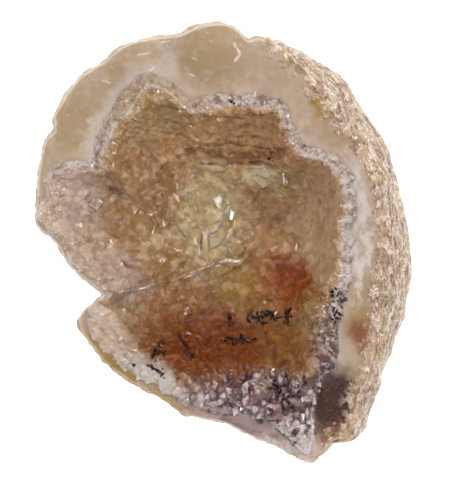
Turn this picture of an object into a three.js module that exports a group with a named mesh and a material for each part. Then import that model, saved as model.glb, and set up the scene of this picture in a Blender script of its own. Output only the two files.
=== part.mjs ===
// Half of a broken agate nodule, lying on its rounded back with the hollow facing up.
// The nodule is one stone: a wall of waxy chalcedony under a thin rough skin, broken open across the top.
// Its hollow is lined with a crust of quartz crystals.
// Millimetres, +Z up. Seen from above, X runs to the right and Y runs up the page.
// The origin is on the surface that the stone rests on, under the middle of its outline.

import * as THREE from "three";

// Driving dimensions

const breakHeight = 19.4; // height of the broken face over the origin
const breakSlopeX = 0.2; // rise of the broken face for each millimetre to the right
const breakSlopeY = 0.08; // and for each millimetre up the page
const restRadius = 7.5; // the small flat spot on the back
const restCentre = [1.2, -0.6];
const floorHeight = 9.2; // the crystal floor at the middle of the hollow
const crustThickness = 2.2; // of the crust at the floor
const crustRise = 0.4; // how far the crust stands above the break at the hollow's edge
const crustEdge = 0.5; // height of the crust's edge beside the chalcedony
const fitGap = 0.35; // clearance between the crust and the stone
const roundRadius = 17; // the hollow's radius near its middle, whatever its rim does
const middle = [0.19, -0.07]; // moves the outline's middle over the origin

// Curves round the stone: pairs of an angle, in degrees anticlockwise from +X, and a length in millimetres.

const outline = [
  [0, 24.2], [10, 23.7], [25, 24.0], [35, 24.5], [45, 25.0], [54, 26.1], [66, 26.5], [75, 26.9],
  [80, 26.9], [83.5, 26.3], [86, 27.4], [90, 28.2], [97, 28.0], [102, 27.5], [108, 28.0], [116, 28.7],
  [124, 28.3], [131, 28.7], [138.5, 28.1], [143.5, 27.6], [146.3, 26.5], [150, 26.8], [157, 26.0],
  [167, 25.0], [174.5, 24.4], [177.8, 22.5], [181, 21.5], [186, 20.6], [193, 19.0], [199, 17.6],
  [203.4, 17.3], [205.4, 19.8], [208, 21.4], [215, 21.8], [225, 21.9], [240, 21.6], [250, 21.7],
  [257, 22.7], [263, 22.8], [271, 23.3], [278, 25.1], [284, 26.9], [288, 28.8], [291.5, 30.3],
  [295, 29.9], [298.5, 29.2], [303, 30.2], [307, 30.2], [310, 29.3], [315, 27.9], [321, 26.5],
  [329, 25.6], [338, 25.1], [347, 24.8], [355, 24.5],
];

// How far the skin's broken edge stands inside the outline.
const skinInset = [
  [0, 4.3], [25, 3.1], [45, 3.6], [60, 3.1], [70, 1.6], [80, 0.7], [90, 0.5], [130, 0.6], [150, 0.4],
  [180, 0.3], [260, 0.3], [295, 0.4], [303, 1.2], [310, 3.3], [317, 2.6], [331, 3.5], [340, 4.3],
];

// Width of the chalcedony on the break, from the skin's edge to the crust.
const wallWidth = [
  [0, 3.9], [25, 3.1], [36, 3.5], [40, 3.8], [44, 4.6], [48, 5.7], [53, 6.5], [58, 6.4], [62, 6.2],
  [66, 5.2], [70, 5.8], [75, 6.9], [80.5, 7.3], [83.5, 7.0], [86.5, 8.3], [90, 9.2], [100, 8.5],
  [106, 7.4], [112, 4.6], [120, 4.2], [128, 5.4], [143, 6.6], [150, 5.2], [154, 2.8], [160, 1.2],
  [200, 1.1], [215, 1.4], [258, 1.6], [272, 2.6], [284, 3.5], [289, 1.6], [293, 1.5], [299, 5.6],
  [306, 7.0], [311, 4.8], [323, 5.2], [332, 4.8], [340, 4.2],
];

// Width of the crust's own rim, from the chalcedony to where the hollow drops.
const lipWidth = [
  [0, 1.4], [36, 1.2], [49, 1.3], [56, 1.2], [66, 1.5], [75, 1.5], [90, 1.8], [105, 2.0], [112, 3.4],
  [120, 3.2], [135, 2.5], [150, 2.7], [160, 1.8], [200, 1.7], [215, 2.8], [245, 2.8], [270, 2.8],
  [280, 3.2], [290, 4.2], [296, 3.6], [302, 2.8], [318, 3.0], [338, 2.5], [350, 1.5],
];

// The skin: how far it drops from its broken edge to the outline, the share of it that rolls outward over
// that drop and through which angle, how full the curve under the stone is, and the heights of its lumps.
const skin = {
  edgeDrop: 2.6,
  dropPerInset: 1.9,
  rollShare: 0.3,
  rollAngle: 0.87,
  fullness: 0.92,
  broadLumps: 0.5,
  fineLumps: 0.28,
};

// How steeply the hollow's wall falls: 1 is a cone, and larger is steeper beside the rim.
const wallSteepness = [
  [0, 7], [45, 6.5], [62, 4.6], [90, 3.4], [120, 3.2], [150, 2.6], [165, 2.2], [190, 2.2], [203, 2.6],
  [215, 3.6], [240, 4.4], [265, 4.4], [285, 3.2], [298, 3.6], [312, 5.6], [330, 6], [345, 7],
];

// Shallow flakes struck off the broken face: centre x and y, radius and depth.
const breakFlakes = [
  { x: 8.2, y: 21.4, radius: 7.0, depth: 1.0 },
  { x: -16.5, y: 16.5, radius: 7.5, depth: 1.1 },
  { x: -8.5, y: 24.0, radius: 5.0, depth: 0.8 },
  { x: 15.5, y: 14.0, radius: 6.0, depth: 1.0 },
  { x: 18.5, y: -1.5, radius: 8.0, depth: 0.9 },
  { x: 14.0, y: -20.5, radius: 5.2, depth: 1.6 },
  { x: 4.5, y: -24.5, radius: 5.5, depth: 1.5 },
];

// The rounded lobe of chalcedony at the top of the break.
const lobe = { x: -1.6, y: 24.6, radius: 5.0, height: 1.1 };

// The deep end of the hollow, and the two ledges across its floor, each from one end to the other.
const deepEnd = { x: 0.6, y: -11.2, spreadX: 10.5, spreadY: 5.2, depth: 3.4 };
const floorLedge = { from: [-13.6, -6.2], to: [3.4, -2.0], drop: 1.4, width: 0.8, reach: 6 };
const shelfLedge = { from: [-3.0, 10.4], to: [8.0, 10.2], drop: 1.2, width: 1.6 };
const ledgeFade = 2;

// The crust's crystals: how many rings of them line the hollow, from its middle to its edge, and cross
// the crust's rim, the lowest and highest tip, and how far a point strays from its place.
const crystals = { innerRings: 25, rimRings: 3, lowest: 0.4, highest: 1.25, stray: 0.25 };
const latticeRings = crystals.innerRings + crystals.rimRings;
const latticeCorners = [[1, 0], [0, 1], [-1, 1], [-1, 0], [0, -1], [1, -1]];

// Points round each ring of the stone: one for every two points of the crystals' outer ring.
const columnCount = 3 * latticeRings;

// Value of a curve at an angle in radians: a smooth closed curve through its points.
function along(curve, angle) {
  const degrees = THREE.MathUtils.euclideanModulo(THREE.MathUtils.radToDeg(angle), 360);
  const count = curve.length;
  let next = curve.findIndex((point) => point[0] > degrees);
  if (next < 0) next = count;
  const point = (index) => {
    const turns = Math.floor(index / count);
    const [a, value] = curve[index - turns * count];
    return [a + 360 * turns, value];
  };
  const [a0, v0] = point(next - 2);
  const [a1, v1] = point(next - 1);
  const [a2, v2] = point(next);
  const [a3, v3] = point(next + 1);
  const span = a2 - a1;
  const slope1 = (v2 - v0) / (a2 - a0);
  const slope2 = (v3 - v1) / (a3 - a1);
  const s = (degrees - a1) / span;
  return (
    (2 * s ** 3 - 3 * s ** 2 + 1) * v1 +
    (s ** 3 - 2 * s ** 2 + s) * span * slope1 +
    (3 * s ** 2 - 2 * s ** 3) * v2 +
    (s ** 3 - s ** 2) * span * slope2
  );
}

// A number from 0 to 1 that is always the same for the same seed.
function chance(seed) {
  const value = Math.sin(seed * 12.9898 + 78.233) * 43758.5453;
  return value - Math.floor(value);
}

const outlineRadius = (angle) => along(outline, angle);
const skinEdgeRadius = (angle) => outlineRadius(angle) - along(skinInset, angle);
const hollowRadius = (angle) => skinEdgeRadius(angle) - along(wallWidth, angle);
const lipRadius = (angle) => hollowRadius(angle) - along(lipWidth, angle);

// Height of the broken face: a sloping plane with flakes struck off it, and the lobe.
function breakAt(x, y) {
  let z = breakHeight + breakSlopeX * x + breakSlopeY * y;
  for (const flake of breakFlakes) {
    const away = Math.hypot(x - flake.x, y - flake.y) / flake.radius;
    if (away < 1) z -= flake.depth * (1 - away ** 2);
  }
  const fromLobe = Math.hypot(x - lobe.x, y - lobe.y) / lobe.radius;
  if (fromLobe < 1) z += lobe.height * (1 - fromLobe ** 2) ** 2;
  return z;
}

// How far a point lies to the left of a ledge's line, and from 0 to 1 how far it is abreast of the ledge.
function besideLedge(ledge, x, y) {
  const dx = ledge.to[0] - ledge.from[0];
  const dy = ledge.to[1] - ledge.from[1];
  const length = Math.hypot(dx, dy);
  const forward = ((x - ledge.from[0]) * dx + (y - ledge.from[1]) * dy) / length;
  const side = ((y - ledge.from[1]) * dx - (x - ledge.from[0]) * dy) / length;
  const inside = Math.min(forward, length - forward);
  return [side, THREE.MathUtils.smoothstep(inside, -ledgeFade, ledgeFade)];
}

// Height of the crystal floor, without the rise of the walls.
function floorAt(x, y) {
  const across = (x - deepEnd.x) / deepEnd.spreadX;
  const up = (y - deepEnd.y) / deepEnd.spreadY;
  return floorHeight - deepEnd.depth * Math.exp(-(across ** 2) - up ** 2);
}

// What the two ledges take off the floor: a step down beyond the first, and a trough behind the second.
function ledgesAt(x, y) {
  const [side, abreast] = besideLedge(floorLedge, x, y);
  const step = THREE.MathUtils.smoothstep(-side, -floorLedge.width / 2, floorLedge.width / 2);
  const fade = Math.exp(-((Math.min(side, 0) / floorLedge.reach) ** 2));
  const [beyond, abreastShelf] = besideLedge(shelfLedge, x, y);
  const trough = beyond > 0 ? Math.exp(-((beyond / shelfLedge.width) ** 2)) : 0;
  return floorLedge.drop * step * fade * abreast + shelfLedge.drop * trough * abreastShelf;
}

// A place round the stone: its angle, how far out it is and how high.
function place(angle, radius, z) {
  return new THREE.Vector3(radius * Math.cos(angle), radius * Math.sin(angle), z);
}

// Distance from the middle at a share of the way to a rim: the rings grow rounder towards the middle.
function inwardRadius(rimRadius, share) {
  return share * THREE.MathUtils.lerp(roundRadius, rimRadius, share ** 2);
}

// The stone's hollow, under the crust. Share runs from 0 at the middle to 1 at the rim.
function hollowPoint(angle, share) {
  const rimRadius = hollowRadius(angle);
  const rim = place(angle, rimRadius, 0);
  const point = place(angle, inwardRadius(rimRadius, share), 0);
  const low = floorAt(point.x, point.y) - crustThickness;
  const rise = share ** along(wallSteepness, angle);
  point.z = low + (breakAt(rim.x, rim.y) - low) * rise;
  return point;
}

// The side of the crust that faces the stone: the hollow's surface, drawn in by the gap.
function crustBackPoint(angle, share) {
  return hollowPoint(angle, share).addScaledVector(facing(hollowPoint, angle, share), fitGap);
}

// The crust's surface, without its crystals. Share runs from 0 at the middle to 1 where the hollow ends,
// and on to 2 beside the chalcedony, over the crust's own rim.
function crustPoint(angle, share) {
  const radius = lipRadius(angle);
  const edge = place(angle, radius, 0);
  edge.z = breakAt(edge.x, edge.y) + crustRise;
  if (share > 1) {
    const outer = crustBackPoint(angle, 1);
    outer.z += crustEdge;
    return edge.lerp(outer, share - 1);
  }
  const point = place(angle, inwardRadius(radius, share), 0);
  const low = floorAt(point.x, point.y);
  const rise = share ** along(wallSteepness, angle);
  point.z = low + (edge.z - low) * rise - ledgesAt(point.x, point.y) * (1 - rise);
  return point;
}

// The direction in which a surface faces, upwards or inwards.
function facing(surface, angle, share) {
  const step = 0.02;
  const nearest = Math.max(share, 2 * step);
  const inner = surface(angle, nearest - step);
  const outer = surface(angle, nearest);
  const before = surface(angle - step, nearest);
  const after = surface(angle + step, nearest);
  return outer.sub(inner).cross(after.sub(before)).normalize();
}

// The share at which an even part of the way down the hollow's wall and over its floor is reached.
function evenShare(angle, part) {
  const steps = 40;
  const lengths = [0];
  let before = crustPoint(angle, 0);
  for (let i = 1; i <= steps; i += 1) {
    const next = crustPoint(angle, i / steps);
    lengths.push(lengths[i - 1] + next.distanceTo(before));
    before = next;
  }
  const wanted = part * lengths[steps];
  const index = Math.max(1, lengths.findIndex((length) => length >= wanted));
  const between = (wanted - lengths[index - 1]) / (lengths[index] - lengths[index - 1]);
  return (index - 1 + between) / steps;
}

// Height of the skin's low lumps, in millimetres: broad ones, and finer ones over them.
function lumpAt(point) {
  const { x, y, z } = point;
  const broad = Math.sin(0.42 * x + 0.7) * Math.sin(0.38 * y - 0.4) * Math.cos(0.36 * z);
  const fine = Math.sin(1.05 * x - 0.9 * z) * Math.cos(0.95 * y + 0.8 * z);
  return skin.broadLumps * broad + skin.fineLumps * fine;
}

// The outline's radius without its notches: the mean over the stretch beside an angle.
function broadRadius(angle) {
  const reach = THREE.MathUtils.degToRad(18);
  const steps = [-1, -0.75, -0.5, -0.25, 0, 0.25, 0.5, 0.75, 1];
  const total = steps.reduce((sum, step) => sum + outlineRadius(angle + step * reach), 0);
  return total / steps.length;
}

// The skin from its broken edge round to the flat spot. Turn runs from 0 at the edge to 1 at the spot.
// It rolls out over the inset to the outline, and from there curves in under the stone.
function skinPoint(angle, turn) {
  const widest = outlineRadius(angle);
  const inset = along(skinInset, angle);
  const edge = place(angle, widest - inset, 0);
  const edgeHeight = breakAt(edge.x, edge.y);
  const widestHeight = edgeHeight - skin.edgeDrop - skin.dropPerInset * inset;
  let point;
  if (turn < skin.rollShare) {
    const tilt = skin.rollAngle * (1 - turn / skin.rollShare);
    const inward = (inset * (1 - Math.cos(tilt))) / (1 - Math.cos(skin.rollAngle));
    const rise = ((edgeHeight - widestHeight) * Math.sin(tilt)) / Math.sin(skin.rollAngle);
    point = place(angle, widest - inward, widestHeight + rise);
  } else {
    const under = (turn - skin.rollShare) / (1 - skin.rollShare);
    const sweep = (under * Math.PI) / 2;
    const out = Math.cos(sweep) ** skin.fullness;
    const broadening = THREE.MathUtils.smoothstep(under, 0.1, 0.6);
    const girth = THREE.MathUtils.lerp(widest, broadRadius(angle), broadening);
    const radius = Math.min(restRadius + (girth - restRadius) * out, widest);
    point = place(angle, radius, widestHeight * (1 - Math.sin(sweep)));
    point.x += restCentre[0] * (1 - out);
    point.y += restCentre[1] * (1 - out);
  }
  const swell = Math.sin(Math.PI * turn) * lumpAt(point);
  const outward = new THREE.Vector3(point.x, point.y, 0).normalize();
  return point.addScaledVector(outward, swell);
}

// Angles of the columns, at equal steps along the outline, so that its notches are kept.
function columnAngles() {
  const samples = 2880;
  const lengths = [0];
  for (let i = 1; i <= samples; i += 1) {
    const before = ((i - 1) / samples) * 2 * Math.PI;
    const after = (i / samples) * 2 * Math.PI;
    const chord = place(after, outlineRadius(after), 0).distanceTo(place(before, outlineRadius(before), 0));
    lengths.push(lengths[i - 1] + chord);
  }
  const angles = [];
  for (let column = 0; column < columnCount; column += 1) {
    const wanted = (lengths[samples] * column) / columnCount;
    const index = lengths.findIndex((length) => length >= wanted);
    angles.push((index / samples) * 2 * Math.PI);
  }
  return angles;
}

// A closed surface over rings of equal count, from a first single point to a last one. The rings turn
// anticlockwise, seen from the side of the last point.
function closedOver(firstPoint, rings, lastPoint) {
  const count = rings[0].length;
  const points = [firstPoint, ...rings.flat(), lastPoint];
  const corners = [];
  const at = (ring, column) => 1 + ring * count + (column % count);
  for (let column = 0; column < count; column += 1) {
    corners.push(0, at(0, column + 1), at(0, column));
    corners.push(points.length - 1, at(rings.length - 1, column), at(rings.length - 1, column + 1));
    for (let ring = 0; ring < rings.length - 1; ring += 1) {
      corners.push(at(ring, column), at(ring, column + 1), at(ring + 1, column + 1));
      corners.push(at(ring, column), at(ring + 1, column + 1), at(ring + 1, column));
    }
  }
  return new THREE.BufferGeometry().setFromPoints(points).setIndex(corners);
}

const angles = columnAngles();
const ringOf = (pointAt) => angles.map(pointAt);
const hollowShares = [0.3, 0.55, 0.75, 0.9, 1];
const breakShares = [0.35, 0.7, 1];
const skinTurns = [0.1, 0.2, 0.3, 0.4, 0.5, 0.6, 0.7, 0.8, 0.9, 1];

// A point of the broken face. Share runs from 0 at the crust to 1 at the skin's edge.
function breakPoint(angle, share) {
  const radius = THREE.MathUtils.lerp(hollowRadius(angle), skinEdgeRadius(angle), share);
  const point = place(angle, radius, 0);
  point.z = breakAt(point.x, point.y);
  return point;
}

// The stone: the flat spot, the skin, the broken face and the hollow, as one closed surface.
function stoneGeometry() {
  const hollow = hollowShares.map((share) => ringOf((angle) => hollowPoint(angle, share)));
  const face = breakShares.map((share) => ringOf((angle) => breakPoint(angle, share)));
  const skin = skinTurns.map((turn) => ringOf((angle) => skinPoint(angle, turn)));
  const restMiddle = new THREE.Vector3(restCentre[0], restCentre[1], 0);
  return closedOver(restMiddle, [...hollow, ...face, ...skin].reverse(), hollowPoint(0, 0));
}

// Angle at a part of the way round the lattice, which keeps step with the stone's columns.
function angleAt(part) {
  const position = part * columnCount;
  const column = Math.floor(position);
  const next = column + 1 < columnCount ? angles[column + 1] : 2 * Math.PI;
  return THREE.MathUtils.lerp(angles[column], next, position - column);
}

// Whether a point of the lattice is the tip of a crystal: every third one is, counted along the lattice's
// two directions, so that each tip has six faces and the rest of the points lie between.
function isTip(ring, index) {
  const side = ring === 0 ? 0 : Math.floor(index / ring);
  const [cornerQ, cornerR] = latticeCorners[side];
  const [stepQ, stepR] = latticeCorners[(side + 2) % 6];
  const q = ring * cornerQ + (index - side * ring) * stepQ;
  const r = ring * cornerR + (index - side * ring) * stepR;
  return (q - r) % 3 === 0;
}

// A point of the crystals' lattice, whose rings hold six more points each.
function latticePoint(ring, index) {
  const { innerRings, rimRings, lowest, highest, stray } = crystals;
  const angle = ring === 0 ? 0 : angleAt(index / (6 * ring));
  if (ring === latticeRings && index % 2 === 1) {
    return latticePoint(ring, index - 1).lerp(latticePoint(ring, (index + 1) % (6 * ring)), 0.5);
  }
  if (ring === latticeRings) return crustPoint(angle, 2);
  const share = ring < innerRings ? evenShare(angle, ring / innerRings) : 1 + (ring - innerRings) / rimRings;
  const seed = 3 * ring * (ring - 1) + index + 1;
  const height = isTip(ring, index) ? THREE.MathUtils.lerp(lowest, highest, chance(seed)) : 0;
  const sideways = [0.1, 0.2, 0.3].map((step) => stray * (2 * chance(seed + step) - 1));
  const point = crustPoint(angle, share).addScaledVector(facing(crustPoint, angle, share), height);
  return point.add(new THREE.Vector3(...sideways));
}

// The crust of crystals that lines the hollow: the lattice above, the back below, and between them the
// edge beside the chalcedony. The back's faces are split along the same diagonals as the stone's hollow.
function crustGeometry() {
  const points = [];
  const corners = [];
  const starts = [];
  for (let ring = 0; ring <= latticeRings; ring += 1) {
    starts.push(points.length);
    for (let index = 0; index < Math.max(1, 6 * ring); index += 1) points.push(latticePoint(ring, index));
  }
  const at = (ring, index) => starts[ring] + (index % Math.max(1, 6 * ring));
  for (let ring = 0; ring < latticeRings; ring += 1) {
    for (let side = 0; side < 6; side += 1) {
      for (let step = 0; step <= ring; step += 1) {
        const inner = side * ring + step;
        const outer = side * (ring + 1) + step;
        corners.push(at(ring, inner), at(ring + 1, outer), at(ring + 1, outer + 1));
        if (step < ring) corners.push(at(ring, inner), at(ring + 1, outer + 1), at(ring, inner + 1));
      }
    }
  }
  const backStart = points.length;
  for (const share of hollowShares) points.push(...ringOf((angle) => crustBackPoint(angle, share)));
  points.push(crustBackPoint(0, 0));
  const back = (ring, column) => backStart + ring * columnCount + (column % columnCount);
  const rim = hollowShares.length - 1;
  for (let column = 0; column < columnCount; column += 1) {
    const top = [0, 1, 2].map((step) => at(latticeRings, 2 * column + step));
    corners.push(back(rim, column), back(rim, column + 1), top[1]);
    corners.push(back(rim, column), top[1], top[0]);
    corners.push(back(rim, column + 1), top[2], top[1]);
    for (let ring = 0; ring < rim; ring += 1) {
      corners.push(back(ring, column), back(ring, column + 1), back(ring + 1, column));
      corners.push(back(ring + 1, column), back(ring, column + 1), back(ring + 1, column + 1));
    }
    corners.push(points.length - 1, back(0, column + 1), back(0, column));
  }
  return new THREE.BufferGeometry().setFromPoints(points).setIndex(corners);
}

function named(name, geometry, colour, roughness) {
  geometry.computeVertexNormals();
  const material = new THREE.MeshStandardMaterial({ color: colour, roughness, flatShading: true });
  const mesh = new THREE.Mesh(geometry, material);
  mesh.name = name;
  return mesh;
}

const nodule = new THREE.Group();
nodule.position.set(middle[0], middle[1], 0);
nodule.add(named("agate_nodule", stoneGeometry(), 0xbda488, 0.45));
nodule.add(named("crystal_lining", crustGeometry(), 0x9c7a56, 0.25));

export default nodule;
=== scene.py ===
import math
from itertools import product

import bmesh
import bpy
import numpy as np
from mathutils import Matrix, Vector, noise
from mathutils.bvhtree import BVHTree
from mathutils.geometry import delaunay_2d_cdt


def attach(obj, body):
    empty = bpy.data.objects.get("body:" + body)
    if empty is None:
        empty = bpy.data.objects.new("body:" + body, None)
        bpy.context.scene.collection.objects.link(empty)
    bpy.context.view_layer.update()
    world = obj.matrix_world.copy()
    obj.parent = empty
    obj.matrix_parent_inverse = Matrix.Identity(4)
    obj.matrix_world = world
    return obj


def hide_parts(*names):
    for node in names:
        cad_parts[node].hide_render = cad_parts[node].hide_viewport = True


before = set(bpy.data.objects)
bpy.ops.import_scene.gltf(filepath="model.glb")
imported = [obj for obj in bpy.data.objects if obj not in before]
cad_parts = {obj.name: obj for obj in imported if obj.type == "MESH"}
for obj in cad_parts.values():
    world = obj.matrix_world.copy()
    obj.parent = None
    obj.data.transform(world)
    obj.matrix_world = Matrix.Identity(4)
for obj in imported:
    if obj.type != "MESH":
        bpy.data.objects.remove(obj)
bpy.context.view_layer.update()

mm = 0.001
middle = (0.19, -0.07)  # moves the outline's middle over the origin, as in the frame

# The nodule's form, in millimetres: the same curves that the frame was made from.
# Each curve is pairs of an angle, in degrees anticlockwise from +X, and a length.
form = {
    "breakHeight": 19.4,  # height of the broken face over the origin
    "breakSlope": (0.2, 0.08),  # its rise to the right and up the page
    "restRadius": 7.5,
    "restCentre": (1.2, -0.6),
    "floorHeight": 9.2,
    "crustThickness": 2.2,
    "crustRise": 0.4,
    "fitGap": 0.35,
    "roundRadius": 17,
    "outline": [
        (0, 24.2), (10, 23.7), (25, 24.0), (35, 24.5), (45, 25.0), (54, 26.1), (66, 26.5), (75, 26.9),
        (80, 26.9), (83.5, 26.3), (86, 27.4), (90, 28.2), (97, 28.0), (102, 27.5), (108, 28.0), (116, 28.7),
        (124, 28.3), (131, 28.7), (138.5, 28.1), (143.5, 27.6), (146.3, 26.5), (150, 26.8), (157, 26.0),
        (167, 25.0), (174.5, 24.4), (177.8, 22.5), (181, 21.5), (186, 20.6), (193, 19.0), (199, 17.6),
        (203.4, 17.3), (205.4, 19.8), (208, 21.4), (215, 21.8), (225, 21.9), (240, 21.6), (250, 21.7),
        (257, 22.7), (263, 22.8), (271, 23.3), (278, 25.1), (284, 26.9), (288, 28.8), (291.5, 30.3),
        (295, 29.9), (298.5, 29.2), (303, 30.2), (307, 30.2), (310, 29.3), (315, 27.9), (321, 26.5),
        (329, 25.6), (338, 25.1), (347, 24.8), (355, 24.5),
    ],
    "skinInset": [
        (0, 4.3), (25, 3.1), (45, 3.6), (60, 3.1), (70, 1.6), (80, 0.7), (90, 0.5), (130, 0.6), (150, 0.4),
        (180, 0.3), (260, 0.3), (295, 0.4), (303, 1.2), (310, 3.3), (317, 2.6), (331, 3.5), (340, 4.3),
    ],
    "wallWidth": [
        (0, 3.9), (25, 3.1), (36, 3.5), (40, 3.8), (44, 4.6), (48, 5.7), (53, 6.5), (58, 6.4), (62, 6.2),
        (66, 5.2), (70, 5.8), (75, 6.9), (80.5, 7.3), (83.5, 7.0), (86.5, 8.3), (90, 9.2), (100, 8.5),
        (106, 7.4), (112, 4.6), (120, 4.2), (128, 5.4), (143, 6.6), (150, 5.2), (154, 2.8), (160, 1.2),
        (200, 1.1), (215, 1.4), (258, 1.6), (272, 2.6), (284, 3.5), (289, 1.6), (293, 1.5), (299, 5.6),
        (306, 7.0), (311, 4.8), (323, 5.2), (332, 4.8), (340, 4.2),
    ],
    "lipWidth": [
        (0, 1.4), (36, 1.2), (49, 1.3), (56, 1.2), (66, 1.5), (75, 1.5), (90, 1.8), (105, 2.0), (112, 3.4),
        (120, 3.2), (135, 2.5), (150, 2.7), (160, 1.8), (200, 1.7), (215, 2.8), (245, 2.8), (270, 2.8),
        (280, 3.2), (290, 4.2), (296, 3.6), (302, 2.8), (318, 3.0), (338, 2.5), (350, 1.5),
    ],
    "wallSteepness": [
        (0, 7), (45, 6.5), (62, 4.6), (90, 3.4), (120, 3.2), (150, 2.6), (165, 2.2), (190, 2.2), (203, 2.6),
        (215, 3.6), (240, 4.4), (265, 4.4), (285, 3.2), (298, 3.6), (312, 5.6), (330, 6), (345, 7),
    ],
    "skin": {
        "edgeDrop": 2.6, "dropPerInset": 1.9, "rollShare": 0.3, "rollAngle": 0.87, "fullness": 0.92,
        "broadLumps": 0.5, "fineLumps": 0.28,
    },
    # Shallow flakes struck off the broken face: centre x and y, radius and depth.
    "flakes": [
        (8.2, 21.4, 7.0, 1.0), (-16.5, 16.5, 7.5, 1.1), (-8.5, 24.0, 5.0, 0.8), (15.5, 14.0, 6.0, 1.0),
        (18.5, -1.5, 8.0, 0.9), (14.0, -20.5, 5.2, 1.6), (4.5, -24.5, 5.5, 1.5),
    ],
    "lobe": (-1.6, 24.6, 5.0, 1.1),  # centre x and y, radius and height
    "deepEnd": (0.6, -11.2, 10.5, 5.2, 3.4),  # centre x and y, spread across and up, depth
    "floorLedge": {"start": (-8.5, -4.9), "stop": (3.4, -2.0), "drop": 0.45, "width": 1.2, "reach": 6},
    "shelfLedge": {"start": (-3.0, 10.4), "stop": (8.0, 10.2), "drop": 1.2, "width": 1.6},
    "ledgeFade": 2,
}


# Value of a curve at angles in radians: a smooth closed curve through its points.
def along(curve, angles):
    knots = np.array([point[0] for point in curve], float)
    values = np.array([point[1] for point in curve], float)
    degrees = np.degrees(angles) % 360
    following = np.searchsorted(knots, degrees, side="right")

    def pointAt(index):
        turns = index // len(knots)
        kept = index - turns * len(knots)
        return knots[kept] + 360 * turns, values[kept]

    (a0, v0), (a1, v1), (a2, v2), (a3, v3) = [pointAt(following + step) for step in (-2, -1, 0, 1)]
    span = a2 - a1
    slope1 = (v2 - v0) / (a2 - a0)
    slope2 = (v3 - v1) / (a3 - a1)
    way = (degrees - a1) / span
    return (
        (2 * way**3 - 3 * way**2 + 1) * v1
        + (way**3 - 2 * way**2 + way) * span * slope1
        + (3 * way**2 - 2 * way**3) * v2
        + (way**3 - way**2) * span * slope2
    )


def smoothstep(value, low, high):
    share = np.clip((value - low) / (high - low), 0, 1)
    return share * share * (3 - 2 * share)


def outlineRadius(angles):
    return along(form["outline"], angles)


def skinEdgeRadius(angles):
    return outlineRadius(angles) - along(form["skinInset"], angles)


def hollowRadius(angles):
    return skinEdgeRadius(angles) - along(form["wallWidth"], angles)


def lipRadius(angles):
    return hollowRadius(angles) - along(form["lipWidth"], angles)


# Height of the broken face: a sloping plane with flakes struck off it, and the lobe.
def breakAt(x, y):
    z = form["breakHeight"] + form["breakSlope"][0] * x + form["breakSlope"][1] * y
    for flakeX, flakeY, radius, depth in form["flakes"]:
        away = np.hypot(x - flakeX, y - flakeY) / radius
        z = z - depth * np.clip(1 - away**2, 0, None)
    lobeX, lobeY, radius, height = form["lobe"]
    away = np.hypot(x - lobeX, y - lobeY) / radius
    return z + height * np.clip(1 - away**2, 0, None) ** 2


# How far a point lies to the left of a ledge's line, and from 0 to 1 how far it is abreast of the ledge.
def besideLedge(ledge, x, y):
    dx = ledge["stop"][0] - ledge["start"][0]
    dy = ledge["stop"][1] - ledge["start"][1]
    length = math.hypot(dx, dy)
    forward = ((x - ledge["start"][0]) * dx + (y - ledge["start"][1]) * dy) / length
    side = ((y - ledge["start"][1]) * dx - (x - ledge["start"][0]) * dy) / length
    inside = np.minimum(forward, length - forward)
    return side, smoothstep(inside, -form["ledgeFade"], form["ledgeFade"])


def floorAt(x, y):
    deepX, deepY, spreadX, spreadY, depth = form["deepEnd"]
    away = ((x - deepX) / spreadX) ** 2 + ((y - deepY) / spreadY) ** 2
    return form["floorHeight"] - depth * np.exp(-away)


def ledgesAt(x, y):
    floorLedge = form["floorLedge"]
    shelfLedge = form["shelfLedge"]
    side, abreast = besideLedge(floorLedge, x, y)
    step = smoothstep(-side, -floorLedge["width"] / 2, floorLedge["width"] / 2)
    fade = np.exp(-((np.minimum(side, 0) / floorLedge["reach"]) ** 2))
    beyond, abreastShelf = besideLedge(shelfLedge, x, y)
    trough = np.where(beyond > 0, np.exp(-((beyond / shelfLedge["width"]) ** 2)), 0)
    return floorLedge["drop"] * step * fade * abreast + shelfLedge["drop"] * trough * abreastShelf


def place(angles, radius, z):
    return np.stack([radius * np.cos(angles), radius * np.sin(angles), z + 0 * angles], axis=-1)


def inwardRadius(rimRadius, share):
    return share * (form["roundRadius"] + (rimRadius - form["roundRadius"]) * share**2)


# The stone's hollow, under the crust. Share runs from 0 at the middle to 1 at the rim.
def hollowPoint(angles, share):
    rimRadius = hollowRadius(angles)
    rim = place(angles, rimRadius, 0)
    point = place(angles, inwardRadius(rimRadius, share), 0)
    low = floorAt(point[..., 0], point[..., 1]) - form["crustThickness"]
    rise = share ** along(form["wallSteepness"], angles)
    point[..., 2] = low + (breakAt(rim[..., 0], rim[..., 1]) - low) * rise
    return point


# The direction in which a surface faces, upwards or inwards.
def facing(surface, angles, share):
    step = 0.02
    nearest = np.maximum(share, 2 * step)
    outward = surface(angles, nearest) - surface(angles, nearest - step)
    onward = surface(angles + step, nearest) - surface(angles - step, nearest)
    normal = np.cross(outward, onward)
    return normal / np.linalg.norm(normal, axis=-1, keepdims=True)


# The side of the crust that faces the stone.
def crustBackPoint(angles, share):
    return hollowPoint(angles, share) + form["fitGap"] * facing(hollowPoint, angles, share)


def lumpAt(point):
    x, y, z = point[..., 0], point[..., 1], point[..., 2]
    broad = np.sin(0.42 * x + 0.7) * np.sin(0.38 * y - 0.4) * np.cos(0.36 * z)
    fine = np.sin(1.05 * x - 0.9 * z) * np.cos(0.95 * y + 0.8 * z)
    return form["skin"]["broadLumps"] * broad + form["skin"]["fineLumps"] * fine


def broadRadius(angles):
    reach = math.radians(18)
    steps = [-1, -0.75, -0.5, -0.25, 0, 0.25, 0.5, 0.75, 1]
    return sum(outlineRadius(angles + step * reach) for step in steps) / len(steps)


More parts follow.
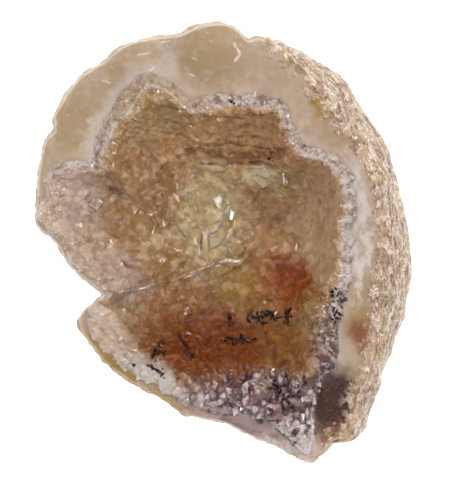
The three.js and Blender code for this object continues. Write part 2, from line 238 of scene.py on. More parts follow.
# The skin from its broken edge, at turn 0, round to the flat spot, at turn 1.
def skinPoint(angles, turn):
    skin = form["skin"]
    widest = outlineRadius(angles)
    inset = along(form["skinInset"], angles)
    edge = place(angles, widest - inset, 0)
    edgeHeight = breakAt(edge[..., 0], edge[..., 1])
    widestHeight = edgeHeight - skin["edgeDrop"] - skin["dropPerInset"] * inset
    if turn < skin["rollShare"]:
        tilt = skin["rollAngle"] * (1 - turn / skin["rollShare"])
        inward = inset * (1 - math.cos(tilt)) / (1 - math.cos(skin["rollAngle"]))
        rise = (edgeHeight - widestHeight) * math.sin(tilt) / math.sin(skin["rollAngle"])
        point = place(angles, widest - inward, widestHeight + rise)
    else:
        under = (turn - skin["rollShare"]) / (1 - skin["rollShare"])
        sweep = under * math.pi / 2
        out = math.cos(sweep) ** skin["fullness"]
        girth = widest + (broadRadius(angles) - widest) * smoothstep(under, 0.1, 0.6)
        radius = np.minimum(form["restRadius"] + (girth - form["restRadius"]) * out, widest)
        point = place(angles, radius, widestHeight * (1 - math.sin(sweep)))
        point[..., 0] += form["restCentre"][0] * (1 - out)
        point[..., 1] += form["restCentre"][1] * (1 - out)
    swell = math.sin(math.pi * turn) * lumpAt(point)
    outward = point * [1, 1, 0]
    outward = outward / np.linalg.norm(outward, axis=-1, keepdims=True)
    return point + swell[..., None] * outward


# A point of the broken face. Share runs from 0 at the crust to 1 at the skin's edge.
def breakPoint(angles, share):
    radius = hollowRadius(angles) + (skinEdgeRadius(angles) - hollowRadius(angles)) * share
    point = place(angles, radius, 0)
    point[..., 2] = breakAt(point[..., 0], point[..., 1])
    return point


# Angles at equal steps along the outline.
def evenAngles(count):
    fine = np.linspace(0, 2 * math.pi, 7200)
    path = place(fine, outlineRadius(fine), 0)
    lengths = np.concatenate([[0], np.cumsum(np.linalg.norm(np.diff(path, axis=0), axis=1))])
    return np.interp(np.arange(count) / count * lengths[-1], lengths, fine)


# Smooth noise at points in millimetres, about -1 to 1, with features about one size across.
def noiseAt(points, size, shift=0.0):
    flat = points.reshape(-1, 3) / size + shift
    values = np.array([noise.noise(Vector(point)) for point in flat.tolist()])
    return 2 * values.reshape(points.shape[:-1])


# Directions in which a grid of points faces, for rings that turn anticlockwise and rows that run upward.
def gridFacing(grid):
    onward = np.roll(grid, -1, axis=1) - np.roll(grid, 1, axis=1)
    upward = np.gradient(grid, axis=0)
    normal = np.cross(onward, upward)
    return normal / np.maximum(np.linalg.norm(normal, axis=-1, keepdims=True), 1e-9)


def linked(name, data):
    holder = bpy.data.objects.new(name, data)
    bpy.context.scene.collection.objects.link(holder)
    return holder


# Keeps a value or a vector for each point or face of a mesh, under a label.
def keep(mesh, label, values, domain="POINT"):
    values = np.asarray(values, np.float32)
    kind, field = ("FLOAT_VECTOR", "vector") if values.ndim == 2 else ("FLOAT", "value")
    mesh.attributes.new(label, kind, domain).data.foreach_set(field, values.reshape(-1))


# A closed mesh over a grid of rings, from a first single point to a last one, with values kept at its points.
def closedMesh(name, firstPoint, grid, lastPoint, kept):
    rings, count = grid.shape[:2]
    points = np.concatenate([[firstPoint], grid.reshape(-1, 3), [lastPoint]])
    points = (points + [*middle, 0]) * mm
    ring, column = np.meshgrid(np.arange(rings - 1), np.arange(count), indexing="ij")
    after = (column + 1) % count
    around = [(ring, column), (ring, after), (ring + 1, after), (ring + 1, column)]
    corners = [1 + row * count + place for row, place in around]
    quads = np.stack(corners, axis=-1).reshape(-1, 4).tolist()
    top = 1 + (rings - 1) * count
    first = [[0, 1 + (place + 1) % count, 1 + place] for place in range(count)]
    last = [[len(points) - 1, top + place, top + (place + 1) % count] for place in range(count)]
    mesh = bpy.data.meshes.new(name)
    mesh.from_pydata(points.tolist(), [], first + quads + last)
    mesh.shade_smooth()
    for label, values in kept.items():
        inner = values.reshape(len(points) - 2, *values.shape[2:])
        keep(mesh, label, np.concatenate([inner[:1], inner, inner[-1:]]))
    return linked(name, mesh)


# A link in a node tree, on which Python's own operators add Math nodes.
class Link:
    def __init__(self, plan, socket):
        self.plan = plan
        self.socket = socket

    def also(self, output):
        return Link(self.plan, self.socket.node.outputs[output])

    def maths(self, operation, first, second=0.0):
        return self.plan.add("ShaderNodeMath", {"operation": operation}, {0: first, 1: second})

    def __add__(self, other):
        return self.maths("ADD", self, other)

    def __radd__(self, other):
        return self.maths("ADD", other, self)

    def __sub__(self, other):
        return self.maths("SUBTRACT", self, other)

    def __rsub__(self, other):
        return self.maths("SUBTRACT", other, self)

    def __mul__(self, other):
        return self.maths("MULTIPLY", self, other)

    def __rmul__(self, other):
        return self.maths("MULTIPLY", other, self)

    def __pow__(self, other):
        return self.maths("POWER", self, other)


# A node tree, filled by one method that takes a node's type, its settings and its sockets' values.
class Plan:
    def __init__(self, tree):
        self.tree = tree

    def add(self, kind, settings=None, values=None, output=0):
        node = self.tree.nodes.new(kind)
        for name, value in (settings or {}).items():
            setattr(node, name, value)
        for name, value in (values or {}).items():
            if isinstance(value, Link):
                self.tree.links.new(value.socket, node.inputs[name])
            else:
                node.inputs[name].default_value = value
        return Link(self, node.outputs[output]) if node.outputs else node


# A material's plan, with the object's own coordinates in millimetres.
class Finish(Plan):
    def __init__(self, name, paints=None):
        self.material = bpy.data.materials.new(name)
        self.material.use_nodes = True
        super().__init__(self.material.node_tree)
        self.tree.nodes.clear()
        self.paints = paints
        self.spot = self.scaled(self.add("ShaderNodeTexCoord", {}, {}, "Object"), 1 / mm)
        split = self.add("ShaderNodeSeparateXYZ", {}, {0: self.spot})
        self.x, self.y, self.z = split, split.also(1), split.also(2)

    def vector(self, operation, first, second, output=0):
        return self.add("ShaderNodeVectorMath", {"operation": operation}, {0: first, 1: second}, output)

    def scaled(self, vector, share):
        return self.add("ShaderNodeVectorMath", {"operation": "SCALE"}, {0: vector, "Scale": share})

    # Noise from 0 to 1 with features about one size across, in millimetres.
    def noise(self, size, detail=2.0, roughness=0.5, spot=None):
        values = {"Vector": spot or self.spot, "Scale": 1 / size, "Detail": detail, "Roughness": roughness}
        return self.add("ShaderNodeTexNoise", {}, values)

    # From 0 at low to 1 at high, softly, or the other way round where low is the larger.
    def fade(self, value, low, high):
        settings = {"interpolation_type": "SMOOTHSTEP"}
        return self.add("ShaderNodeMapRange", settings, {0: value, 1: low, 2: high, 3: 0.0, 4: 1.0})

    # Coordinates, the object's own if no others are given, times a share along each axis.
    def stretched(self, shares, spot=None):
        return self.vector("MULTIPLY", spot or self.spot, shares)

    def blend(self, under, over, share):
        return self.add("ShaderNodeMix", {"data_type": "RGBA"}, {0: share, 6: under, 7: over}, 2)

    # Lays a paint, given by its name, or another colour over the colour so far.
    def cover(self, shade, share):
        over = self.paints[shade] if isinstance(shade, str) else shade
        self.colour = self.blend(self.colour, over, share)

    def kept(self, label):
        return self.add("ShaderNodeAttribute", {"attribute_name": label}, {}, "Fac")

    # Noise as a vector, each part of it from 0 to 1.
    def wander(self, fineness, detail):
        values = {"Vector": self.spot, "Scale": fineness, "Detail": detail}
        return self.add("ShaderNodeTexNoise", {}, values, "Color")

    # The object's coordinates, pushed about by noise.
    def wandering(self, size, reach):
        wander = self.vector("SUBTRACT", self.wander(1 / size, 3.0), (0.5, 0.5, 0.5))
        return self.vector("ADD", self.spot, self.scaled(wander, 2 * reach))

    # The same as two values, x and y, so that the borders of the zones are irregular.
    def strayed(self, size, reach):
        split = self.add("ShaderNodeSeparateXYZ", {}, {0: self.wandering(size, reach)})
        return split, split.also(1)

    # 1 inside an oval with this middle and reach, in millimetres, and 0 outside it.
    def zone(self, strayed, at, reach, turn=0, soft=0.35):
        x, y = strayed[0] - at[0], strayed[1] - at[1]
        cosine, sine = math.cos(math.radians(turn)), math.sin(math.radians(turn))
        across = (x * cosine + y * sine) * (1 / reach[0])
        upward = (y * cosine - x * sine) * (1 / reach[1])
        away = (across * across + upward * upward) ** 0.5
        return self.fade(away, 1 + soft, 1 - soft)

    # 1 on the edge of such an oval and 0 away from it.
    def ring(self, strayed, at, reach, turn=0, width=0.2):
        inner = self.zone(strayed, at, reach, turn, width)
        outer = self.zone(strayed, at, (reach[0] * (1 + width), reach[1] * (1 + width)), turn, width)
        return outer - inner

    # A value without its sign.
    def size(self, value):
        return self.add("ShaderNodeMath", {"operation": "ABSOLUTE"}, {0: value})

    # 1 on a line between two points and 0 away from it.
    def line(self, wandering, start, stop, width):
        dx, dy = (stop[0] - start[0]) / 2, (stop[1] - start[1]) / 2
        half = math.hypot(dx, dy)
        centre = (start[0] + dx, start[1] + dy, 0.0)
        spot = self.vector("SUBTRACT", wandering, centre)
        forward = self.vector("DOT_PRODUCT", spot, (dx / half, dy / half, 0.0), "Value")
        side = self.vector("DOT_PRODUCT", spot, (-dy / half, dx / half, 0.0), "Value")
        ends = self.fade(self.size(forward), half + 0.2, half - 0.3)
        return self.fade(self.size(side), width, 0.3 * width) * ends

    # Noise in streaks that fan out from a point.
    def fan(self, at, fineness, length):
        x, y = self.x - at[0], self.y - at[1]
        angle = self.add("ShaderNodeMath", {"operation": "ARCTAN2"}, {0: y, 1: x})
        away = (x * x + y * y) ** 0.5
        values = {0: angle * fineness, 1: away * (1 / length), 2: self.z * 0.2}
        spot = self.add("ShaderNodeCombineXYZ", {}, values)
        return self.noise(1, 3, 0.55, spot)

    def finish(self, colour, roughness, bump=None, **constants):
        values = {"Base Color": colour, "Roughness": roughness, **constants}
        if bump:
            values["Normal"] = bump
        surface = self.add("ShaderNodeBsdfPrincipled", {}, values)
        self.add("ShaderNodeOutputMaterial", {}, {"Surface": surface})
        return self.material

    def bump(self, height, distance, strength=1.0):
        values = {"Strength": strength, "Distance": distance * mm, "Height": height}
        return self.add("ShaderNodeBump", {}, values)


quartzIndex = 1.54  # of refraction
warmScatter = (1.0, 0.85, 0.7)  # how far red, green and blue light travel inside


# A colour given as it looks on a screen, from 0 to 255.
def paint(red, green, blue):
    linear = [((value / 255 + 0.055) / 1.055) ** 2.4 for value in (red, green, blue)]
    return (*linear, 1.0)


print("camera and lights")
cameraSettings = {
    "lens": 200,
    "frameHeight": 65,  # millimetres that the frame spans from top to bottom, at this level
    "level": 13,
    "lookAt": (0.78, -0.91),
}
lampDistance = 350
# Each lamp: heading anticlockwise from +X, tilt from straight above, width and brightness.
lampSettings = {
    "key": {"heading": 60, "tilt": 36, "size": 55, "power": 0.3},
    "high": {"heading": 85, "tilt": 17, "size": 40, "power": 0.15},
    "far": {"heading": 105, "tilt": 52, "size": 50, "power": 0.16},
    "right": {"heading": 15, "tilt": 45, "size": 45, "power": 0.12},
    "left": {"heading": 155, "tilt": 34, "size": 45, "power": 0.13},
    "nearLeft": {"heading": 232, "tilt": 36, "size": 45, "power": 0.1},
    "nearRight": {"heading": 305, "tilt": 42, "size": 45, "power": 0.1},
}
worldSettings = {"colour": paint(250, 250, 252), "strength": 0.42}
floorSettings = {"size": 600, "colour": paint(252, 252, 252), "glow": 0.75}


def makeCamera():
    camera = bpy.data.cameras.new("camera")
    camera.lens = cameraSettings["lens"]
    camera.sensor_width = 36
    camera.clip_start = 0.01
    distance = cameraSettings["lens"] * cameraSettings["frameHeight"] / camera.sensor_width
    holder = linked("camera", camera)
    holder.location = Vector((*cameraSettings["lookAt"], cameraSettings["level"] + distance)) * mm
    bpy.context.scene.camera = holder


def makeLamp(name, settings):
    lamp = bpy.data.lights.new(name, "AREA")
    lamp.shape = "DISK"
    lamp.size = settings["size"] * mm
    lamp.energy = settings["power"]
    lamp.color = (1.0, 0.985, 0.965)
    holder = linked(name, lamp)
    heading, tilt = math.radians(settings["heading"]), math.radians(settings["tilt"])
    away = Vector((math.sin(tilt) * math.cos(heading), math.sin(tilt) * math.sin(heading), math.cos(tilt)))
    holder.location = away * lampDistance * mm + Vector((0, 0, 12 * mm))
    holder.rotation_euler = (-away).to_track_quat("-Z", "Y").to_euler()


def makeWorld():
    world = bpy.data.worlds.new("studio")
    world.use_nodes = True
    background = world.node_tree.nodes["Background"]
    background.inputs["Color"].default_value = worldSettings["colour"]
    background.inputs["Strength"].default_value = worldSettings["strength"]
    bpy.context.scene.world = world


def makeFloor():
    half = floorSettings["size"] / 2 * mm
    corners = [(-half, -half, 0), (half, -half, 0), (half, half, 0), (-half, half, 0)]
    mesh = bpy.data.meshes.new("floor")
    mesh.from_pydata(corners, [], [(0, 1, 2, 3)])
    look = Finish("lightTable")
    colour = floorSettings["colour"]
    glow = {"Emission Color": colour, "Emission Strength": floorSettings["glow"]}
    mesh.materials.append(look.finish(colour, 0.7, **glow))
    linked("floor", mesh)


makeCamera()
for lampName, lamp in lampSettings.items():
    makeLamp(lampName, lamp)
makeWorld()
makeFloor()
bpy.context.scene.view_settings.view_transform = "Standard"


print("stone")
stoneSettings = {
    "columns": 600,
    "upperSkinRows": 56,  # down to the outline
    "lowerSkinRows": 46,
    "breakRows": 36,
    "hollowShares": [1, 0.9, 0.75, 0.55, 0.3],
    "layerHeight": 0.12,  # of the skin's layers, which crop out along it
    "layerPitch": 0.9,
    "layerLength": 1.8,
    "fineHeight": 0.07,
    "finePitch": 0.22,
    "pitDepth": 0.12,
    "waveHeight": 0.1,  # of the slow waves on the break
    "edgeRound": 0.12,  # how much the skin's edge is worn down
    "chipDepth": 0.24,
    "chipReach": 0.7,
}


def stoneGrid():
    angles = evenAngles(stoneSettings["columns"])
    roll = form["skin"]["rollShare"]
    upper = np.linspace(0, roll, stoneSettings["upperSkinRows"], endpoint=False)
    lower = np.linspace(roll, 1, stoneSettings["lowerSkinRows"])
    turns = np.concatenate([upper, lower])[::-1]
    skin = np.array([skinPoint(angles, turn) for turn in turns])
    shares = np.linspace(1, 0, stoneSettings["breakRows"], endpoint=False)[1:]
    face = np.array([breakPoint(angles, share) for share in shares])
    hollow = np.array([hollowPoint(angles, share) for share in stoneSettings["hollowShares"]])
    grid = np.concatenate([skin, face, hollow])
    down = np.concatenate([turns, np.zeros(len(shares) + len(hollow))])
    isSkin = np.concatenate([np.ones(len(skin)), np.zeros(len(shares) + len(hollow))])
    across = np.concatenate([np.ones(len(skin)), shares, np.zeros(len(hollow))])
    return angles, grid, down, isSkin, across


# Millimetres along the outline, as two values that meet where it closes, and down from the skin's edge.
def skinFlow(angles, grid):
    wrapped = place(angles, outlineRadius(angles), 0)[:, :2]
    rows = stoneSettings["upperSkinRows"] + stoneSettings["lowerSkinRows"]
    depth = np.cumsum(np.linalg.norm(np.diff(grid, axis=0, prepend=grid[:1]), axis=-1), axis=0)
    depth = np.abs(depth[rows - 1] - depth)
    return np.concatenate([np.broadcast_to(wrapped, (*depth.shape, 2)), depth[..., None]], axis=-1)


# The skin's layers and pits and the waves of the break, along the way the surface faces, and how far the
# edge between them is worn down.
def stoneRelief(angles, grid, down, isSkin, across):
    settings = stoneSettings
    flow = skinFlow(angles, grid)
    perLength, perPitch = 1 / settings["layerLength"], 1 / settings["layerPitch"]
    layers = np.minimum(noiseAt(flow * [perLength, perLength, perPitch], 1) ** 2 * 2 - 0.5, 1.2)
    fine = noiseAt(flow * [0.5, 0.5, 1 / settings["finePitch"]], 1, 4.0)
    pits = np.clip(noiseAt(grid, 1.1) - 0.25, 0, None) + 0.4 * noiseAt(grid, 0.45, 7.0)
    flat = smoothstep(1 - down, 0, 0.12)[:, None] * (1 - 0.6 * np.exp(-(((down - 0.3) / 0.06) ** 2)))[:, None]
    layered = settings["layerHeight"] * layers + settings["fineHeight"] * fine
    fromEdge = flow[..., 2]
    skinRelief = (layered - settings["pitDepth"] * pits) * flat * smoothstep(fromEdge, 0, 0.8)
    waves = settings["waveHeight"] * noiseAt(grid, 4.5, 3.0) + 0.02 * noiseAt(grid, 0.7, 5.0)
    wide = along(form["wallWidth"], angles)[None, :]
    inCrust = smoothstep((1 - isSkin)[:, None] * across[:, None] * wide, 0.0, 1.2)
    breakRelief = waves * smoothstep(fromEdge, 0, 0.8) * inCrust
    worn = settings["edgeRound"] + settings["chipDepth"] * np.abs(noiseAt(grid, 1.3, 11.0))
    worn = worn * np.exp(-fromEdge / settings["chipReach"]) * smoothstep(wide, 1.0, 3.0)
    worn = np.where(isSkin[:, None] > 0.5, worn, worn * inCrust)
    return np.where(isSkin[:, None] > 0.5, skinRelief, breakRelief), worn


def makeStone():
    angles, grid, down, isSkin, across = stoneGrid()
    relief, worn = stoneRelief(angles, grid, down, isSkin, across)
    kept = {
        "skin": np.broadcast_to(isSkin[:, None], relief.shape),
        "across": np.broadcast_to(across[:, None], relief.shape),
        "flow": skinFlow(angles, grid),
    }
    grid = grid + relief[..., None] * gridFacing(grid)
    grid[..., 2] -= worn
    grid[0, :, 2] = 0
    restMiddle = np.array([*form["restCentre"], 0.0])
    hollowMiddle = hollowPoint(np.zeros(1), 0.001)[0]
    return closedMesh("chalcedony_and_skin", restMiddle, grid, hollowMiddle, kept)


stoneColours = {
    "milky": paint(190, 168, 146),
    "cloud": paint(176, 153, 128),
    "veil": paint(200, 185, 175),
    "olive": paint(171, 147, 112),
    "pinkish": paint(180, 155, 132),
    "yellow": paint(158, 124, 48),
    "tan": paint(164, 136, 98),
    "purple": paint(58, 14, 4),
    "duskAndShade": paint(92, 60, 70),
    "haze": paint(140, 110, 108),
    "greyPurple": paint(170, 148, 146),
    "rust": paint(140, 84, 48),
    "fleckAndGlint": paint(236, 222, 200),
    "lumpLight": paint(216, 206, 200),
    "lumpShade": paint(168, 146, 130),
    "edge": paint(206, 192, 176),
    "skin": paint(188, 162, 128),
    "skinPink": paint(190, 160, 140),
    "skinGlint": paint(252, 242, 230),
    "skinStreakAndShade": paint(116, 82, 58),
}
# Zones of colour on the stone: colour, middle, reach, turn and share.
stoneZones = [
    ("olive", (-18.8, 15.3), (2.6, 4.2), -30, 0.9),
    ("olive", (-1.4, 24.0), (4.6, 5.4), 0, 1.0),
    ("olive", (-12.0, 22.6), (4.5, 1.4), 25, 0.4),
    ("olive", (-17.5, 10.5), (3.2, 1.0), 0, 0.6),
    ("pinkish", (9.0, 18.0), (7.0, 3.4), -30, 0.8),
    ("pinkish", (14.0, 13.5), (2.0, 5.0), 35, 0.7),
    ("veil", (-7.2, 22.3), (1.3, 4.2), 10, 0.6),
    ("veil", (-15.6, 14.8), (1.3, 5.0), -25, 0.9),
    ("veil", (-10.8, 21.0), (3.0, 1.6), 25, 0.5),
    ("yellow", (12.0, 17.4), (1.2, 2.4), 30, 1.0),
    ("olive", (14.2, 13.4), (1.6, 1.4), 30, 0.7),
    ("veil", (16.6, 1.4), (2.0, 9.0), 0, 0.8),
    ("tan", (19.0, -8.5), (2.6, 6.0), 0, 0.8),
    ("tan", (17.6, -9.4), (2.2, 3.6), 0, 0.7),
    ("rust", (13.6, -24.0), (2.6, 1.2), 10, 0.8),
    ("greyPurple", (2.4, -23.4), (7.5, 3.0), -24, 1.0),
    ("yellow", (-11.5, -16.4), (8.5, 1.0), -40, 0.5),
]

# Pale outlines of chips in the broken face, partly painted highlight on their edges: middle, reach, turn.
chipRings = [
    ((9.4, 23.4), (1.5, 0.8), -20), ((11.6, 22.0), (0.8, 0.5), -30), ((14.2, 19.6), (1.2, 0.6), -55),
    ((17.6, 13.2), (0.5, 1.4), 20),
]
# Lines of yellow stain along the lower left, on the skin as on the broken face.
stainLines = [
    ((-17.2, -11.8), (-14.2, -15.4), 0.6), ((-14.2, -15.4), (-11.0, -17.9), 0.6),
    ((-9.6, -19.0), (-5.2, -21.7), 0.45),
]
# Lines on the broken face: colour, start, stop, width. The pale flecks are partly painted highlight, and the
# dark lines along the crust's lower border are painted shadow.
stoneLines = [
    ("fleckAndGlint", (1.5, 25.4), (2.3, 24.0), 0.28), ("fleckAndGlint", (2.3, 24.0), (1.4, 22.8), 0.3),
    ("fleckAndGlint", (7.9, 24.3), (9.6, 22.6), 0.24), ("fleckAndGlint", (9.6, 22.6), (11.0, 22.9), 0.22),
    ("fleckAndGlint", (-12.6, 25.2), (-10.6, 25.8), 0.14), ("fleckAndGlint", (-15.4, 20.9), (-14.4, 20.4), 0.14),
    ("fleckAndGlint", (-9.6, 21.9), (-8.6, 22.6), 0.12), ("fleckAndGlint", (17.4, -13.4), (18.8, -13.9), 0.25),
    ("fleckAndGlint", (-10.8, 24.0), (-9.2, 24.4), 0.12), ("fleckAndGlint", (-8.4, 25.6), (-6.6, 25.8), 0.12),
    ("fleckAndGlint", (-4.4, 21.6), (-3.4, 21.2), 0.12), ("fleckAndGlint", (-3.9, 23.6), (-3.2, 23.2), 0.12),
    ("veil", (-17.6, 15.8), (-13.8, 15.2), 0.5), ("veil", (-18.4, 12.6), (-14.8, 13.0), 0.5),
    ("fleckAndGlint", (15.9, -18.6), (17.0, -20.4), 0.3), ("fleckAndGlint", (17.0, -20.4), (16.2, -22.8), 0.3),
    ("duskAndShade", (-2.9, -21.5), (0.8, -22.2), 0.3), ("duskAndShade", (0.8, -22.2), (4.4, -21.4), 0.3),
    ("haze", (-0.6, -22.4), (3.0, -24.0), 0.7), ("haze", (3.0, -24.0), (7.2, -25.4), 0.6),
]
stoneLook = {
    "stray": (3.0, 1.6),  # size and reach of the noise that makes the zones' borders irregular
    "zoneSoftness": 0.6,
    "cloudSize": 3.2,
    "veilShare": 0.8,  # of the pale veil along the crust
    "lineShare": 0.85,
    "flank": (10.0, 15.0),  # from where to where the skin lies more and more open on the right
    "bumpDepth": 0.22,
    "scatterReach": 1.3,  # of light inside the stone
}
# Ovals that only one step of the finish uses: middle, reach, turn, softness.
stoneOvals = {
    "lumps": ((16.9, 1.0), (2.4, 8.0), 0, 0.35),  # white, along the right of the hollow
    "chunk": ((14.3, -20.8), (3.2, 4.8), 0, 0.3),  # dark purple and brown
    "chunkHaze": ((12.8, -17.2), (2.0, 1.6), 0, 0.5),
    "chunkRust": ((14.6, -24.4), (2.4, 1.2), 10, 0.4),
    "chunkChips": ((16.8, -20.8), (1.6, 3.6), 0, 0.4),
    "rustSpot": ((18.0, -12.0), (1.6, 2.4), 20, 0.5),
    "lowerBorderShadow": ((2.2, -21.6), (8.0, 3.4), -20, 0.3),
    "yellowSkin": ((-11.5, -16.8), (9.0, 1.6), -40, 0.4),
    "frostedTip": ((8.6, -26.6), (4.2, 2.6), 0, 0.4),
}


def stoneFinish():
    look = Finish("milkyChalcedony", stoneColours)
    strayed = look.strayed(*stoneLook["stray"])
    look.colour = stoneColours["milky"]
    look.cover("cloud", look.fade(look.noise(stoneLook["cloudSize"], 3), 0.4, 0.7))
    across = look.kept("across")
    feather = look.noise(1.0, 4, 0.65, look.stretched((1.0, 0.5, 0.3)))
    near = look.fade(across + 0.9 * (feather - 0.5), 0.42, 0.02)
    look.cover("veil", stoneLook["veilShare"] * near)
    for shade, at, reach, turn, share in stoneZones:
        look.cover(shade, share * look.zone(strayed, at, reach, turn, stoneLook["zoneSoftness"]))
    for at, reach, turn in chipRings:
        look.cover("fleckAndGlint", 0.8 * look.ring(strayed, at, reach, turn))
    crooked = look.wandering(1.1, 0.4)
    torn = look.fade(look.noise(0.8, 3), 0.36, 0.5)
    for shade, start, stop, width in stoneLines:
        look.cover(shade, stoneLook["lineShare"] * look.line(crooked, start, stop, width) * torn)
    flow = look.add("ShaderNodeAttribute", {"attribute_name": "flow"}, {}, "Vector")
    flow = look.vector("ADD", flow, look.scaled(look.wander(0.55, 2.0), 1.6))
    inward = look.add("ShaderNodeSeparateXYZ", {}, {0: flow}, 2)
    # Painted highlights: short bright strokes in clusters near the skin's edge, which are also glossier and
    # raised a little.
    strokes = look.noise(1, 2, 0.5, look.stretched((0.8, 0.8, 2.6), flow))
    clusters = look.fade(look.noise(2.6, 2), 0.5, 0.62) * look.fade(inward, 4.6, 1.4)
    strokes = look.fade(strokes, 0.6, 0.68) * clusters
    look.cover("fleckAndGlint", 0.8 * strokes)
    grain = look.noise(1.4, 5, 0.6)
    look.cover("veil", 0.35 * look.fade(grain, 0.5, 0.7))
    look.cover("tan", 0.35 * look.fade(grain, 0.5, 0.3))
    # White lumps along the right of the hollow, with painted shade between them, and the dark chunk with its
    # chips under them.
    lumps = look.noise(1, 4, 0.65, look.stretched((0.9, 0.5, 0.5)))
    lumpy = look.zone(strayed, *stoneOvals["lumps"])
    look.cover("lumpLight", 0.8 * lumpy * look.fade(lumps, 0.44, 0.6))
    look.cover("lumpShade", 0.6 * lumpy * look.fade(lumps, 0.46, 0.32))
    chunk = look.zone(strayed, *stoneOvals["chunk"])
    mottle = look.noise(0.9, 4, 0.65)
    look.cover("purple", 0.97 * chunk)
    look.cover("duskAndShade", 0.2 * chunk * look.fade(mottle, 0.52, 0.62))
    look.cover("rust", 0.7 * chunk * look.fade(mottle, 0.48, 0.34))
    hazy = look.zone(strayed, *stoneOvals["chunkHaze"]) * look.fade(mottle, 0.42, 0.58)
    look.cover("haze", 0.35 * hazy)
    rusted = look.zone(strayed, *stoneOvals["rustSpot"]) * look.fade(mottle, 0.34, 0.46)
    look.cover("rust", 0.95 * rusted)
    rusty = look.zone(strayed, *stoneOvals["chunkRust"])
    look.cover("rust", 0.6 * rusty)
    chips = look.zone(strayed, *stoneOvals["chunkChips"]) * look.fade(look.noise(0.7, 3), 0.46, 0.58)
    look.cover("fleckAndGlint", 0.6 * chips)
    # Painted shadow: a dark line on the stone along the lower border of the crust.
    border = look.fade(across, 0.22, 0.04) * look.zone(strayed, *stoneOvals["lowerBorderShadow"])
    look.cover("duskAndShade", 0.8 * border)

    flank = look.fade(look.x + 0.3 * look.size(look.y), *stoneLook["flank"])
    layers = look.noise(1, 3, 0.6, look.stretched((0.35, 0.35, 0.8), flow))
    fibres = look.noise(1, 3, 0.65, look.stretched((0.9, 0.9, 1.8), flow))
    breakColour = look.colour
    look.colour = stoneColours["skin"]
    look.cover("skinPink", look.fade(look.noise(1.8, 3), 0.45, 0.6))
    # Dark streaks of the skin's own colour, with painted shade where its layers crop out.
    look.cover("skinStreakAndShade", 0.6 * look.fade(layers, 0.5, 0.32))
    look.cover("skinStreakAndShade", 0.7 * look.fade(fibres, 0.43, 0.3))
    # Thin curls and fibres of painted highlight and dark furrows of painted shade, most of them on the flank
    # that lies open beside the break.
    curls = look.fade(look.size(fibres - 0.53), 0.04, 0.015) * look.fade(look.noise(1.2, 3), 0.42, 0.56)
    look.cover("skinGlint", (0.25 + 0.65 * flank) * curls)
    look.cover("skinGlint", (0.2 + 0.6 * flank) * look.fade(fibres, 0.58, 0.66))
    furrows = look.fade(look.size(layers - 0.46), 0.035, 0.01)
    look.cover("skinStreakAndShade", (0.3 + 0.4 * flank) * furrows)
    skin = look.kept("skin")
    ragged = across + 0.9 * (look.noise(0.9, 3) - 0.5)
    onto = look.fade(ragged, 0.7, 0.9) * flank
    # Painted light: the skin turns pale near the break's edge, away from the open flank, like a thin rim lit
    # through from behind.
    near = look.fade(inward, 3.2, 1.2) * (1 - flank)
    look.cover("edge", 0.85 * near)
    yellowed = look.zone(strayed, *stoneOvals["yellowSkin"])
    look.cover("yellow", 0.7 * yellowed)
    both = skin + (1 - skin) * onto
    look.colour = look.blend(breakColour, look.colour, both)
    for start, stop, width in stainLines:
        look.cover("yellow", 0.8 * look.line(crooked, start, stop, width))
    frosted = look.zone(strayed, *stoneOvals["frostedTip"])
    look.cover("lumpLight", 0.6 * frosted * look.fade(lumps, 0.4, 0.56))
    look.cover("haze", 0.6 * frosted * look.fade(lumps, 0.44, 0.34))
    roughness = 0.36 - 0.12 * strokes - 0.06 * both + 0.12 * look.noise(0.8, 3)
    height = look.noise(0.3, 3, 0.6) * (0.15 + 0.35 * both) + 0.8 * look.noise(1.4, 2)
    height = height + 1.2 * fibres * both + 0.3 * strokes
    return look.finish(
        look.colour,
        roughness,
        look.bump(height, stoneLook["bumpDepth"], 0.8),
        **{
            "IOR": quartzIndex,
            "Specular IOR Level": 0.3,
            "Subsurface Weight": 0.8,
            "Subsurface Radius": warmScatter,
            "Subsurface Scale": stoneLook["scatterReach"] * mm,
            "Sheen Weight": 0.25,
            "Sheen Roughness": 0.4,
        },
    )


stone = makeStone()
stone.data.materials.append(stoneFinish())


print("crust")
crustSettings = {
    "rimShare": 0.11,  # of the tables' rows that lie on the rim, against those on the floor and walls
    "borderPoints": 420,
    "backShares": [1, 0.9, 0.75, 0.55, 0.3],
    "lap": [  # angle, and how far the rim runs out over the broken face there
        (0, 0.5), (60, 0.5), (150, 0.5), (165, 0.8), (200, 0.8), (215, 0.9), (255, 0.9), (275, 0.9),
        (288, 0.5), (320, 0.4),
    ],
    "lapDip": 0.25,  # how far the border lies under the broken face
    "lumpHeight": 0.4,
    "lumpSize": 2.4,
    "terraces": {"at": (0.5, 13.0), "reach": (14.0, 5.0), "pitch": 2.1, "height": 0.4},
    "spacing": 0.8,  # between crystals where no zone below says otherwise
    # Sizes in the order in which they grow: how many are tried, least and greatest share of the spacing.
    "growth": [(3500, 1.3, 1.9), (16000, 0.8, 1.2), (70000, 0.5, 0.75)],
    "relief": 0.28,  # height of a crystal as a share of its spacing
    "shoulder": 0.86,  # how far out from its tip a large crystal's end faces reach
    "shoulderShare": 0.06,  # of the crystals that have sides under their end faces
    "facetShare": 0.34,  # of the crystals whose faces are flat and bright, away from the rim
    "flatRelief": 0.65,  # how much of their height these keep, away from the rim and the glittering end
    "softRelief": 0.3,  # and the other crystals
    "tallRelief": 0.3,  # over this, as in the glittering end, crystals keep their whole height and slant
    "heights": (0.6, 1.4),  # least and greatest share of the height that is usual in a place
    "slant": 0.16,  # how far a tip strays, as a share of the spacing
    "brightSlant": 0.6,  # how much of that the bright and the other crystals keep where it is flat
    "softSlant": 0.35,
    "shoulderHeights": (0.25, 0.55),
    "largeSpacing": 1.9,  # over this a bright crystal always has sides
    "borderSpacing": 0.4,
    "places": 5,  # seeds of the crystals' places and of their shapes
    "shapes": 8,
}
lipPart = 1 / (1 + crustSettings["rimShare"])  # of the way from the middle to the border, where the lip lies
